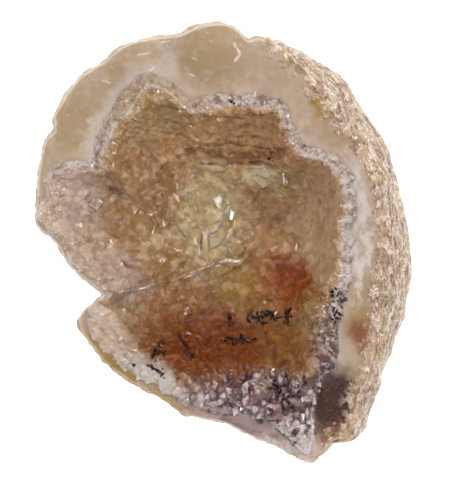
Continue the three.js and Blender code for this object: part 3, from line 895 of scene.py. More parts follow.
# Where the crystals are larger or smaller, and how far they stand out.
grainZones = [
    {"at": (-15.5, 1.0), "reach": (9.0, 10.0), "spacing": 0.95, "relief": 0.28, "facets": 0.32},
    {"at": (0.0, 13.0), "reach": (14.5, 4.8), "spacing": 0.6, "relief": 0.14, "facets": 0.12},
    {"at": (-11.0, 12.0), "reach": (4.0, 5.0), "spacing": 0.8, "relief": 0.14, "facets": 0.15},
    {"at": (-1.4, 4.2), "reach": (4.4, 6.6), "turn": -8, "spacing": 1.1, "relief": 0.15},
    {"at": (9.0, 3.0), "reach": (6.5, 6.5), "spacing": 1.1, "relief": 0.18, "facets": 0.2},
    {"at": (4.6, -5.6), "reach": (5.2, 2.6), "spacing": 1.0, "relief": 0.2},
    {"at": (0.0, -12.0), "reach": (11.0, 4.5), "spacing": 0.9, "relief": 0.2, "facets": 0.2},
    {"at": (4.0, -20.0), "reach": (11.0, 3.6), "spacing": 1.0, "relief": 0.42},
    {"at": (14.2, -13.0), "reach": (2.8, 6.0), "spacing": 1.0, "relief": 0.42},
    {"at": (10.0, -25.4), "reach": (3.0, 3.0), "spacing": 0.6, "relief": 0.16},
]
rimGrain = {"spacing": 0.42, "relief": 0.36}
tableSize = {"columns": 720, "steps": 90, "floorRows": 200}  # of the grids that the crystals stand on
largeCrystals = [  # x, y, spacing
    (5.1, 6.9, 2.5), (8.5, 7.1, 2.3), (10.5, 6.2, 2.2), (-16.8, 5.8, 1.9), (-4.9, -9.0, 2.0),
    (-11.8, -12.4, 1.9), (5.7, 9.0, 2.8), (9.2, -1.2, 1.7), (-8.0, 2.0, 1.8), (2.6, 1.2, 2.0),
    (11.8, 1.8, 1.7), (-13.0, -4.4, 1.6),
]


# The crust's floor and walls, up to the lip of the hollow.
def crustFloorPoint(angles, share):
    radius = lipRadius(angles)
    edge = place(angles, radius, 0)
    edge[..., 2] = breakAt(edge[..., 0], edge[..., 1]) + form["crustRise"]
    point = place(angles, inwardRadius(radius, share), 0)
    x, y = point[..., 0], point[..., 1]
    low = floorAt(x, y)
    rise = share ** along(form["wallSteepness"], angles)
    point[..., 2] = low + (edge[..., 2] - low) * rise - ledgesAt(x, y) * (1 - rise)
    return point


# The crust's rim, which runs out over the broken face and thins away into it.
def crustRimPoint(angles, across):
    inner = lipRadius(angles)
    stray = 0.18 * np.sin(23 * angles + 2) + 0.14 * np.sin(41 * angles) + 0.1 * np.sin(67 * angles + 1)
    stray = stray * (1 + 2.2 * np.exp(-(((np.degrees(angles) - 292) / 9) ** 2)))
    outer = hollowRadius(angles) + along(crustSettings["lap"], angles) + stray
    point = place(angles, inner + (outer - inner) * across, 0)
    fall = form["crustRise"] + crustSettings["lapDip"]
    proud = form["crustRise"] + 0.1 * np.sin(math.pi * across) - fall * across**2
    point[..., 2] = breakAt(point[..., 0], point[..., 1]) + proud
    return point


# Two grids over the whole crust, its smooth surface and the way that it faces, and for each of their
# columns the length from the middle to the lip and from there to the border.
def crustTables():
    angles = np.linspace(0, 2 * math.pi, tableSize["columns"], endpoint=False)
    shares = np.linspace(0, 1, tableSize["steps"])
    path = np.array([crustFloorPoint(angles, np.full(len(angles), share)) for share in shares])
    lengths = np.cumsum(np.linalg.norm(np.diff(path, axis=0, prepend=path[:1]), axis=-1), axis=0)
    rows = []
    floorRows = tableSize["floorRows"]
    for part in np.linspace(0.004, 1, floorRows):
        share = np.array([np.interp(part * length[-1], length, shares) for length in lengths.T])
        rows.append(crustFloorPoint(angles, share))
    rimRows = round(floorRows * crustSettings["rimShare"])
    for across in np.linspace(0, 1, rimRows + 1)[1:]:
        rows.append(crustRimPoint(angles, np.full(len(angles), across)))
    grid = np.array(rows)
    rimLengths = np.linalg.norm(grid[-1] - grid[floorRows - 1], axis=-1)
    grid = grid + crustRelief(grid)[..., None] * -gridFacing(grid)
    return grid, -gridFacing(grid), np.stack([lengths[-1], rimLengths])


# How far points lie inside an oval: 1 at its middle part, fading to 0 outside.
def ovalAt(points, at, reach, turn=0, soft=0.35):
    x, y = points[..., 0] - at[0], points[..., 1] - at[1]
    cosine, sine = math.cos(math.radians(turn)), math.sin(math.radians(turn))
    away = np.hypot((x * cosine + y * sine) / reach[0], (y * cosine - x * sine) / reach[1])
    return smoothstep(-away, -1 - soft, -1 + soft)


def terraceLevel(points):
    return points[..., 2] / crustSettings["terraces"]["pitch"] + 0.9 * noiseAt(points * [0.5, 1, 1], 3.0, 2.0)


# Slow lumps all over, and narrow terraces along the wall under the upper rim.
def crustRelief(grid):
    settings = crustSettings
    lumps = np.abs(noiseAt(grid, settings["lumpSize"])) + 0.5 * noiseAt(grid, 1.1, 4.0)
    terraces = settings["terraces"]
    level = terraceLevel(grid)
    steps = level - np.floor(level) - 0.5
    relief = settings["lumpHeight"] * lumps
    relief = relief + terraces["height"] * steps * ovalAt(grid, terraces["at"], terraces["reach"])
    edgeFade = np.ones(len(grid))  # of the relief, row by row, to nothing at the border and in the middle
    edgeFade[-5:] = (0.8, 0.5, 0.25, 0.1, 0)
    edgeFade[0] = 0
    return relief * edgeFade[:, None]


# Values of a grid at points of the disc, by straight lines between its own.
def fromTable(table, angles, part):
    rows, columns = table.shape[:2]
    row = np.clip(part * (rows - 1), 0, rows - 1.001)
    column = (angles / (2 * math.pi) * columns) % columns
    ring, before = np.floor(row).astype(int), np.floor(column).astype(int) % columns
    outward, onward = (row - ring)[..., None], (column - np.floor(column))[..., None]
    after = (before + 1) % columns
    near = table[ring, before] * (1 - onward) + table[ring, after] * onward
    far = table[ring + 1, before] * (1 - onward) + table[ring + 1, after] * onward
    return near * (1 - outward) + far * outward


# The lengths from the middle to the lip and from there to the border, at these angles.
def reachesAt(reaches, angles):
    column = np.append(np.linspace(0, 2 * math.pi, reaches.shape[1], endpoint=False), 2 * math.pi)
    return [np.interp(angles % (2 * math.pi), column, np.append(reach, reach[0])) for reach in reaches]


# Places of the crust, as angle and part of the way out, unrolled flat at their true length, and back again.
def unrolled(reaches, angles, part):
    floor, rim = reachesAt(reaches, angles)
    onRim = floor + (part - lipPart) / (1 - lipPart) * rim
    radius = np.where(part < lipPart, part / lipPart * floor, onRim)
    return np.stack([radius * np.cos(angles), radius * np.sin(angles)], axis=-1)


def rolledUp(reaches, flat):
    angles = np.arctan2(flat[:, 1], flat[:, 0])
    floor, rim = reachesAt(reaches, angles)
    radius = np.hypot(flat[:, 0], flat[:, 1])
    onRim = lipPart + (radius - floor) / rim * (1 - lipPart)
    return angles, np.minimum(np.where(radius < floor, radius / floor * lipPart, onRim), 1)


# Spacing and relief of the crystals at points of the crust, and the share of them with flat bright faces.
def grainAt(points, part):
    spacing = np.full(len(points), crustSettings["spacing"])
    relief = np.full(len(points), crustSettings["relief"])
    flatShare = np.full(len(points), crustSettings["facetShare"])
    for zone in grainZones:
        share = ovalAt(points, zone["at"], zone["reach"], zone.get("turn", 0))
        spacing = spacing + (zone["spacing"] - spacing) * share
        relief = relief + (zone["relief"] - relief) * share
        flatShare = flatShare + (zone.get("facets", crustSettings["facetShare"]) - flatShare) * share
    upper = smoothstep(points[:, 1] + 0.3 * points[:, 0], -12, -4)
    uneven = 1 + 0.5 * noiseAt(points, 2.0, 5.0)
    rim = smoothstep(part, lipPart - 0.03, lipPart) * upper
    spacing = spacing + (rimGrain["spacing"] * uneven - spacing) * rim
    relief = relief + (rimGrain["relief"] - relief) * rim
    return spacing, relief, flatShare


# Crystals thrown on the disc, the largest first, each kept if it is clear of those before it.
def throwCrystals(grid, seed):
    chance = np.random.default_rng(seed)
    kept = []
    taken = {}
    reach = 1.1

    def tryOne(angle, part, point, spacing, relief):
        home = tuple((point // reach).astype(int).tolist())
        around = range(-math.ceil(spacing / reach), math.ceil(spacing / reach) + 1)
        x, y, z = point.tolist()
        for step in product(around, repeat=3):
            cell = (home[0] + step[0], home[1] + step[1], home[2] + step[2])
            for otherX, otherY, otherZ, wide in taken.get(cell, ()):
                room = (spacing + wide) / 2
                if (x - otherX) ** 2 + (y - otherY) ** 2 + (z - otherZ) ** 2 < room * room:
                    return
        taken.setdefault(home, []).append((x, y, z, spacing))
        kept.append((angle, part, spacing, relief))

    for index, (count, least, most) in enumerate(crustSettings["growth"]):
        angles = chance.uniform(0, 2 * math.pi, count)
        part = np.sqrt(chance.uniform(0, 0.985, count))
        points = fromTable(grid, angles, part)
        spacing, relief, _ = grainAt(points, part)
        if index == 0:
            for x, y, wide in largeCrystals:
                nearest = np.argmin(np.hypot(points[:, 0] - x, points[:, 1] - y))
                tryOne(angles[nearest], part[nearest], points[nearest], wide, relief[nearest])
        spacing = spacing * chance.uniform(least, most, count)
        for values in zip(angles, part, points, spacing, relief):
            tryOne(*values)
    return [np.array(values) for values in zip(*kept)]


# Triangles between neighbouring crystals, all turned the same way, with the border's ring among their sides.
def neighbours(flat, count):
    first = len(flat) - count
    edges = [(first + step, first + (step + 1) % count) for step in range(count)]
    places = [Vector(point) for point in flat.tolist()]
    _, _, cells, origins, _, _ = delaunay_2d_cdt(places, edges, [], 1, 1e-7)
    corners = np.array([[origins[corner][0] for corner in cell] for cell in cells])
    sides = flat[corners]
    turned = np.cross(sides[:, 1] - sides[:, 0], sides[:, 2] - sides[:, 0]) < 0
    corners[turned] = corners[turned][:, ::-1]
    return corners


# The side of the crust that lies against the stone, in rings that start at the border's points.
def crustBack(points, rim):
    rimAngles = np.arctan2(points[rim, 1], points[rim, 0])
    rim = rim[np.argsort(rimAngles)]
    rimAngles = np.sort(rimAngles)
    back = np.array([crustBackPoint(rimAngles, share) for share in crustSettings["backShares"]])
    first = len(points)
    rings = [rim] + [first + len(rim) * row + np.arange(len(rim)) for row in range(len(back))]
    faces = []
    for upper, lower in zip(rings, rings[1:]):
        upperNext, lowerNext = np.roll(upper, -1), np.roll(lower, -1)
        faces += [np.stack([upper, lower, lowerNext], -1), np.stack([upper, lowerNext, upperNext], -1)]
    last = first + back.shape[0] * back.shape[1]
    faces.append(np.stack([rings[-1], np.full(len(rim), last), np.roll(rings[-1], -1)], -1))
    return np.concatenate([back.reshape(-1, 3), crustBackPoint(np.zeros(1), 0.001)]), faces


# The crust as one closed mesh of crystal ends that grow into one another, each a many-sided low point.
def makeCrust():
    settings = crustSettings
    grid, normals, reaches = crustTables()
    angles, part, spacing, relief = throwCrystals(grid, settings["places"])
    count = settings["borderPoints"]
    border = evenAngles(count)
    angles = np.concatenate([angles, border])
    part = np.concatenate([part, np.ones(count)])
    spacing = np.concatenate([spacing, np.full(count, settings["borderSpacing"])])
    relief = np.concatenate([relief, np.zeros(count)])
    flat = unrolled(reaches, angles, part)
    corners = neighbours(flat, count)

    # A valley point for each triangle of neighbours, and one half way along each border edge.
    crystals, triangles = len(angles), len(corners)
    tail = corners.reshape(-1)
    head = np.roll(corners, -1, axis=1).reshape(-1)
    halves = np.arange(3 * triangles)
    following = halves // 3 * 3 + (halves + 1) % 3
    ends = list(zip(tail.tolist(), head.tolist()))
    halfOf = {pair: half for half, pair in enumerate(ends)}
    twin = np.array([halfOf.get((stop, start), -1) for start, stop in ends])
    borderHalves = np.flatnonzero(twin < 0)
    valley = flat[corners].mean(axis=1)
    middles = (flat[tail[borderHalves]] + flat[head[borderHalves]]) / 2
    low = np.concatenate([valley, middles])
    lowAngles, lowPart = rolledUp(reaches, low)
    lowPoints = fromTable(grid, lowAngles, lowPart)
    tipBase = fromTable(grid, angles, part)
    tipNormals = fromTable(normals, angles, part)

    chance = np.random.default_rng(settings["shapes"])
    facets = chance.uniform(0, 1, crystals)
    tall = (part > lipPart) | (relief > settings["tallRelief"])
    bright = tall | (facets < grainAt(tipBase, part)[2])
    share = np.where(bright, settings["flatRelief"], settings["softRelief"])
    height = spacing * relief * chance.uniform(*settings["heights"], crystals) * np.where(tall, 1, share)
    slant = chance.normal(0, settings["slant"], (crystals, 3)) * spacing[:, None] * (relief > 0)[:, None]
    slantShare = np.where(bright, settings["brightSlant"], settings["softSlant"])
    slant = slant * np.where(tall, 1, slantShare)[:, None]
    tips = tipBase + tipNormals * height[:, None] + slant
    reach = settings["shoulder"]
    shoulderPoints = tipBase[tail] + reach * (lowPoints[halves // 3] - tipBase[tail])
    lift = height[tail] * chance.uniform(*settings["shoulderHeights"], len(tail))
    shoulderPoints = shoulderPoints + tipNormals[tail] * lift[:, None] + 0.6 * slant[tail]
    tints = chance.uniform(0, 1, crystals)
    faceLightTints = chance.uniform(0, 1, (crystals, 3))
    spins = chance.uniform(0, 2 * math.pi, crystals)

    lowFirst, shoulderFirst = crystals, crystals + len(low)
    faces, owners = [], []
    lowOf = lowFirst + halves // 3
    across = np.where(twin >= 0, lowFirst + np.maximum(twin, 0) // 3, 0)
    across[borderHalves] = lowFirst + triangles + np.arange(len(borderHalves))
    few = chance.uniform(0, 1, crystals) < settings["shoulderShare"]
    sided = bright & (few | (spacing > settings["largeSpacing"]))
    plain = (relief[tail] == 0) | (twin < 0) | ~sided[tail]
    faces.append(np.stack([tail, across, lowOf], axis=-1)[plain])
    owners.append(tail[plain])
    lastOf = following[np.maximum(twin, 0)]
    full = ~plain
    before, after = shoulderFirst + lastOf[full], shoulderFirst + halves[full]
    faces += [
        np.stack([tail[full], before, after], axis=-1),
        np.stack([before, across[full], lowOf[full]], axis=-1),
        np.stack([before, lowOf[full], after], axis=-1),
    ]
    owners += [tail[full]] * 3
    faces.append(np.stack([head[borderHalves], lowOf[borderHalves], across[borderHalves]], axis=-1))
    owners.append(head[borderHalves])
    front = np.concatenate([tips, lowPoints, shoulderPoints])
    rim = np.concatenate([tail[borderHalves], lowFirst + triangles + np.arange(len(borderHalves))])
    backPoints, backFaces = crustBack(front, rim)
    points = np.concatenate([front, backPoints])
    faces = np.concatenate(faces + backFaces)
    owners = np.concatenate(owners)
    # Three painted tones of light and shade round each crystal, so that its faces differ as lit faces do.
    page = np.concatenate([flat, low, flat[tail] + reach * (low[halves // 3] - flat[tail])])
    away = page[faces[: len(owners)]].mean(axis=1) - flat[owners]
    around = np.arctan2(away[:, 1], away[:, 0]) + spins[owners]
    sector = np.floor(around / (2 * math.pi / 3)).astype(int) % 3

    # What the finish needs at each point: depth inside the border, tip or valley, and the wall's levels.
    hidden = np.zeros(len(backPoints))
    frontAngles = np.arctan2(front[:, 1], front[:, 0])
    outer = hollowRadius(frontAngles) + along(settings["lap"], frontAngles)
    fallen = np.clip(breakAt(front[:, 0], front[:, 1]) - front[:, 2], 0, None)
    terraces = settings["terraces"]
    tipness = np.concatenate([np.ones(crystals), np.zeros(len(low)), np.full(len(shoulderPoints), 0.6)])
    kept = {
        "inside": np.concatenate([outer - np.hypot(front[:, 0], front[:, 1]) + fallen, hidden]),
        "face": np.concatenate([np.ones(len(front)), hidden]),
        "tip": np.concatenate([tipness, hidden]),
        "level": np.concatenate([terraceLevel(front), hidden]),
        "wall": np.concatenate([ovalAt(front, terraces["at"], terraces["reach"]), hidden]),
    }
    used = np.unique(faces)
    renumbered = np.zeros(len(points), int)
    renumbered[used] = np.arange(len(used))
    mesh = bpy.data.meshes.new("crystal_crust")
    placed = (points[used] + [*middle, 0]) * mm
    mesh.from_pydata(placed.tolist(), [], renumbered[faces].tolist())
    mesh.shade_flat()
    for label, values in kept.items():
        keep(mesh, label, values[used])
    plainFaces = np.zeros(len(faces) - len(owners))
    onRim = part[owners] > lipPart
    ofFaces = {"tint": tints[owners], "bright": bright[owners], "faceLight": faceLightTints[owners, sector]}
    for label, values in ofFaces.items():
        keep(mesh, label, np.concatenate([values, plainFaces]), "FACE")
    mesh.polygons.foreach_set("use_smooth", ~np.concatenate([bright[owners], plainFaces > 1]))
    mesh.polygons.foreach_set("material_index", np.concatenate([onRim, plainFaces + 1]).astype(np.int32))
    print("crystals in the crust:", crystals, "triangles:", len(faces))
    return linked("crystal_crust", mesh)


druseColours = {
    "amber": paint(155, 117, 71),
    "pink": paint(175, 145, 120),
    "brown": paint(194, 151, 106),
    "redBrown": paint(192, 142, 102),
    "lightTan": paint(180, 140, 94),
    "rightTan": paint(206, 172, 136),
    "umber": paint(122, 84, 56),
    "tan": paint(174, 140, 96),
    "greenish": paint(190, 172, 130),
    "bulge": paint(176, 146, 100),
    "grit": paint(174, 147, 114),
    "black": paint(26, 16, 14),
    "bark": paint(138, 98, 60),
    "mauve": paint(96, 64, 56),
    "ash": paint(188, 172, 160),
    "lilacTan": paint(186, 164, 150),
    "pale": paint(182, 157, 114),
    "plate": paint(234, 218, 184),
    "orange": paint(130, 44, 0),
    "rust": paint(156, 82, 4),
    "yellow": paint(160, 124, 56),
    "deepBrown": paint(108, 42, 0),
    "deepOrange": paint(132, 86, 42),
    "honey": paint(146, 100, 46),
    "white": paint(196, 174, 154),
    "purple": paint(126, 94, 96),
    "frost": paint(204, 193, 190),
    "shade": paint(138, 116, 102),
    "duskAndShade": paint(70, 46, 54),
    "streakAndShadow": paint(92, 50, 26),
    "glitter": paint(220, 206, 208),
    "valley": paint(112, 68, 34),
    "tip": paint(224, 206, 181),
    "glint": paint(250, 244, 228),
    "amberTip": paint(196, 134, 70),
}
# Zones of colour on the crust: colour, middle, reach, turn, share, and the height over which a stain ends.
druseZones = [
    ("brown", (1.0, 13.4), (13.5, 4.4), 0, 1.0),
    ("redBrown", (6.0, 11.6), (6.5, 1.8), 4, 0.8),
    ("tan", (-11.5, 13.5), (4.0, 4.0), 0, 0.8),
    ("brown", (-7.5, 7.6), (4.4, 3.4), 0, 0.6),
    ("bark", (-7.6, 5.8), (2.8, 5.0), 10, 0.7),
    ("lilacTan", (-20.5, 5.5), (5.0, 7.0), 0, 1.0),
    ("lilacTan", (-14.0, -4.0), (5.5, 3.0), -40, 0.8),
    ("bulge", (-9.0, 16.4), (4.8, 2.6), 8, 0.9),
    ("pale", (-1.6, 4.0), (3.8, 6.2), -8, 0.9),
    ("pale", (9.4, 5.6), (3.4, 2.6), 0, 0.6),
    ("lightTan", (8.6, 2.6), (6.0, 5.6), 0, 0.6),
    ("pale", (6.2, 8.4), (5.4, 1.8), 0, 0.8),
    ("plate", (5.0, 8.8), (2.4, 1.2), -15, 0.8),
    ("redBrown", (12.5, 8.6), (3.4, 1.8), -40, 0.6),
    ("rightTan", (13.4, 3.0), (3.2, 7.4), 0, 0.9),
    ("yellow", (4.6, -5.6), (5.4, 2.8), 0, 0.9),
    ("honey", (-6.8, -8.2), (4.4, 2.2), 8, 0.6),
    ("deepBrown", (-0.5, -13.2), (10.5, 4.8), 0, 0.95),
    ("deepOrange", (8.0, -12.6), (3.4, 4.8), 0, 0.9),
    ("rust", (8.6, -5.6), (4.6, 3.4), -35, 0.95, 13.0),
    ("pale", (11.6, -10.2), (1.9, 3.6), 10, 0.6),
    ("orange", (9.7, -4.8), (3.8, 2.0), -40, 0.8, 13.0),
    ("white", (-15.8, -11.2), (3.0, 6.0), 30, 1.0),
    ("purple", (5.0, -20.4), (10.0, 3.2), 0, 1.0),
    ("frost", (-8.6, -17.6), (5.2, 1.7), -35, 0.9),
    ("purple", (14.2, -15.0), (2.6, 5.0), 0, 1.0),
    ("mauve", (13.6, -12.4), (1.6, 4.4), 0, 0.7),
    ("ash", (-0.8, 0.3), (1.4, 1.3), 0, 0.6),
    ("bark", (-11.0, 12.4), (3.2, 2.6), 0, 0.25),
    ("frost", (10.0, -25.0), (3.0, 3.2), 0, 0.75),
    ("white", (-23.0, 4.0), (2.2, 7.0), 8, 0.8),
    ("white", (-18.0, -3.0), (1.4, 4.0), 50, 0.6),
]
druseLook = {
    "stray": (2.4, 1.7),  # size and reach of the noise that makes the zones' borders irregular
    "glitterStray": (2.0, 1.6),
    "zoneSoftness": 0.5,
    "bandReach": (2.3, 1.1),  # inside the border, where the frosted band starts and where it is full
    "bandShare": 0.85,
    "brinkShare": 0.8,  # of frost on the border where it has no band
    "seamShare": 0.2,
    "ledgeShadowShare": 0.4,
    "bumpDepth": 0.12,
    "scatterReach": 2.0,
}
# Where purple and white crystals glitter: middle, reach and share.
glitterZones = [
    ((5.0, -20.4), (10.5, 3.8), 1.0), ((14.4, -13.0), (2.6, 7.0), 0.45), ((10.0, -25.4), (3.0, 2.4), 0.7),
]
# Ovals that only one step of the finish uses: middle, reach, turn, softness.
druseOvals = {
    "fan": ((-1.6, 3.6), (4.4, 6.6), -8, 0.45),  # of pale feathers over the middle
    "fanSide": ((-6.4, 1.6), (4.6, 4.6), 0, 0.5),
    "stain": ((9.6, -5.6), (3.6, 2.6), -35, 0.4),  # orange, with dark streaks
    "deep": ((1.0, -12.4), (12.0, 5.2), 0, 0.4),
    "wideRim": ((-9.0, 17.0), (6.5, 5.0), 0, 0.5),  # where the frosted band is wider and warmer
    "lowerTip": ((10.4, -24.6), (3.6, 4.2)),
}
# Lines on the crust: colour, start, stop, width and share. First the painted highlight along the edge of the
# ledge across the floor, then painted highlights and shadows along the edges of ledges and large crystals,
# soft patches, and the needles' dark strokes.
crustLines = [
    ("glint", (-13.4, -6.4), (-10.7, -5.9), 0.16, 0.8), ("glint", (-10.7, -5.9), (-6.2, -4.7), 0.13, 0.6),
    ("glint", (-6.2, -4.7), (-2.9, -3.4), 0.12, 0.5), ("glint", (-2.9, -3.4), (-0.7, -2.6), 0.16, 0.7),
    ("glint", (-0.7, -2.6), (0.7, -2.2), 0.2, 0.8), ("glint", (0.7, -2.2), (2.3, -2.4), 0.26, 1.0),
    ("pale", (-5.5, 10.9), (-1.0, 9.3), 0.2, 0.8), ("pale", (-1.0, 9.3), (7.6, 10.4), 0.16, 0.6),
    ("glint", (-4.2, 1.8), (-3.0, -1.4), 0.22, 0.7), ("glint", (-6.1, 9.2), (-5.8, 5.4), 0.16, 0.5),
    ("glint", (-0.5, 6.2), (-0.7, 4.4), 0.2, 0.8), ("glint", (1.1, 4.4), (1.2, 3.0), 0.24, 0.9),
    ("umber", (-2.2, 2.4), (-3.0, -1.0), 0.18, 0.8), ("umber", (-2.2, 2.4), (-0.4, 2.9), 0.14, 0.5),
    ("streakAndShadow", (-7.4, 17.4), (-2.0, 16.4), 0.16, 0.6), ("streakAndShadow", (-2.6, 16.2), (3.0, 15.8), 0.16, 0.6),
    ("streakAndShadow", (3.4, 16.1), (7.6, 16.6), 0.16, 0.6), ("umber", (-12.4, 15.0), (-5.0, 14.0), 0.2, 0.5),
    ("streakAndShadow", (-5.0, 12.2), (1.4, 13.0), 0.18, 0.6), ("streakAndShadow", (1.4, 12.8), (8.2, 12.0), 0.2, 0.7),
    ("umber", (-5.0, 11.8), (8.0, 11.4), 0.9, 0.6),
    ("umber", (-17.6, 5.4), (-15.6, 4.8), 0.4, 0.6), ("umber", (-13.2, -2.6), (-11.0, -3.4), 0.6, 0.7),
    ("glint", (-6.3, 6.5), (-5.5, 5.3), 0.2, 0.6), ("glint", (-0.7, 6.3), (-0.3, 5.2), 0.18, 0.8),
    ("glint", (-1.7, 4.6), (-0.7, 3.9), 0.14, 0.7), ("umber", (-1.8, 5.3), (-1.3, 3.9), 0.12, 0.7),
    ("glint", (1.1, 4.2), (1.6, 3.5), 0.14, 0.6), ("frost", (-2.0, 0.9), (-0.4, 2.7), 0.3, 0.7),
    ("glint", (0.6, 0.7), (1.3, 2.1), 0.14, 0.5), ("glint", (-6.4, -0.7), (-5.4, -1.2), 0.14, 0.6),
    ("bark", (4.5, 5.9), (4.9, 7.0), 0.18, 0.8), ("bark", (4.9, 7.0), (6.2, 7.3), 0.18, 0.8),
    ("bark", (7.4, 7.5), (9.3, 7.0), 0.2, 0.8), ("bark", (9.3, 7.0), (10.2, 5.8), 0.16, 0.7),
    ("ash", (-18.8, 9.4), (-16.2, 9.0), 0.7, 0.6), ("mauve", (-14.6, 7.4), (-12.2, 5.8), 0.7, 0.5),
    ("umber", (6.9, 3.6), (7.7, 2.6), 0.8, 0.7), ("umber", (-12.8, 10.6), (-12.2, 9.4), 0.5, 0.6),
    ("black", (2.9, -8.9), (4.4, -10.0), 0.34, 1.0), ("black", (4.4, -10.0), (6.0, -9.3), 0.42, 1.0),
    ("black", (6.0, -9.3), (7.3, -10.3), 0.28, 1.0), ("black", (8.2, -8.6), (8.6, -10.7), 0.31, 1.0),
    ("black", (0.7, -9.4), (0.9, -11.1), 0.22, 1.0), ("black", (-0.2, -12.3), (3.9, -12.9), 0.28, 1.0),
    ("black", (-8.2, -12.9), (-9.2, -14.9), 0.25, 1.0), ("black", (-8.1, -12.9), (-8.3, -14.6), 0.2, 1.0),
    ("black", (-5.9, -11.9), (-4.9, -13.0), 0.28, 1.0), ("black", (-4.8, -13.2), (-3.9, -15.1), 0.22, 1.0),
    ("black", (-9.8, -15.6), (-7.6, -17.0), 0.28, 1.0), ("black", (13.6, -5.6), (14.6, -7.6), 0.42, 1.0),
]


# Paints the druse: mottled amber, then the zones of stain, then the frosted band along the border.
def paintDruse(look):
    strayed = look.strayed(*druseLook["stray"])
    look.colour = druseColours["amber"]
    look.cover("pink", 0.8 * look.fade(look.noise(2.2, 3), 0.5, 0.66))
    for shade, at, reach, turn, share, *top in druseZones:
        stained = look.zone(strayed, at, reach, turn, druseLook["zoneSoftness"])
        if top:
            stained = stained * look.fade(look.z + 2.4 * look.noise(2.0), top[0] + 2.4, top[0])
        look.cover(shade, share * stained)
    # Pale feathers that fan out over the middle, and dark ones in the orange stain.
    pale = look.zone(look.strayed(1.2, 0.8), *druseOvals["fan"])
    feathers = look.fan((-1.6, -3.0), 4.0, 3.0)
    look.cover("greenish", 0.42 * pale)
    look.cover("plate", 0.5 * pale * look.fade(feathers, 0.54, 0.66))
    look.cover("amber", 0.6 * pale * look.fade(feathers, 0.44, 0.32))
    spread = look.zone(strayed, *druseOvals["fanSide"])
    look.cover("plate", 0.3 * spread * look.fade(feathers, 0.56, 0.66))
    stained = look.zone(strayed, *druseOvals["stain"])
    streaks = look.fan((6.4, -2.6), 7.0, 2.4)
    look.cover("streakAndShadow", 0.8 * stained * look.fade(streaks, 0.48, 0.34))
    mottles = look.noise(1.5, 4, 0.6)
    look.cover("umber", 0.4 * look.fade(mottles, 0.44, 0.3))
    deep = look.zone(strayed, *druseOvals["deep"])
    warm = look.blend(druseColours["tip"], druseColours["amberTip"], stained + (1 - stained) * deep)
    look.cover(warm, 0.3 * look.fade(mottles, 0.54, 0.7))
    # Painted light and shade: each face of a crystal darker or lighter by its own tone.
    faceLight = look.kept("faceLight")
    look.cover("umber", 0.26 * look.fade(faceLight, 0.4, 0.0))
    look.cover(warm, 0.28 * look.fade(faceLight, 0.6, 1.0))
    grain = look.noise(0.5, 3, 0.6)
    look.cover("valley", 0.22 * look.fade(grain, 0.47, 0.3))
    look.cover(warm, 0.3 * look.fade(grain, 0.54, 0.7))
    crooked = look.wandering(1.0, 0.45)
    torn = look.fade(look.noise(1.1, 3), 0.34, 0.52)
    for shade, start, stop, width, share in crustLines:
        drawn = look.line(crooked, start, stop, width) * torn
        look.cover(shade, share * drawn)
    # A frosted lilac band along the border, with a pale lip on its inner side.
    wider = look.zone(strayed, *druseOvals["wideRim"])
    inside = look.kept("inside") - 0.9 * wider + 1.4 * (look.noise(0.8, 4, 0.6) - 0.5)
    upper = look.fade(look.y + 0.55 * look.x, -4.0, 0.0)
    flecks = look.fade(0.5 * look.noise(0.5, 3) + 0.5 * look.noise(1.4, 2), 0.38, 0.6)
    band = look.blend(druseColours["shade"], druseColours["frost"], flecks)
    band = look.blend(band, druseColours["grit"], 0.65 * wider)
    look.cover(band, druseLook["bandShare"] * look.fade(inside, *druseLook["bandReach"]) * upper)
    brink = look.fade(look.kept("inside"), 0.6, 0.2) * (1 - upper)
    look.cover("frost", druseLook["brinkShare"] * brink)
    lip = look.fade(inside, 1.1, 1.4) * look.fade(inside, 1.8, 1.5) * look.fade(look.noise(1.5, 2), 0.35, 0.5)
    look.cover("frost", 0.6 * lip * upper)


# Thin dark seams between grown-together crystals, and broken lines of painted shadow under the ledges on the
# upper wall.
def paintSeams(look):
    moved = look.vector("ADD", look.spot, look.scaled(look.wander(1.1, 2.0), 0.9))
    edges = look.add("ShaderNodeTexVoronoi", {"feature": "DISTANCE_TO_EDGE"}, {"Vector": moved, "Scale": 0.8})
    seams = look.fade(edges, 0.05, 0.0) * look.fade(look.noise(1.7, 3), 0.5, 0.62)
    look.cover("valley", druseLook["seamShare"] * seams)
    level = look.kept("level") + 0.12 * (look.noise(0.7, 2) - 0.5)
    away = look.add("ShaderNodeMath", {"operation": "PINGPONG"}, {0: level, 1: 0.5})
    broken = look.fade(look.noise(2.2, 3), 0.42, 0.56)
    ledges = look.fade(away, 0.06, 0.01) * look.kept("wall") * broken
    look.cover("streakAndShadow", druseLook["ledgeShadowShare"] * ledges)


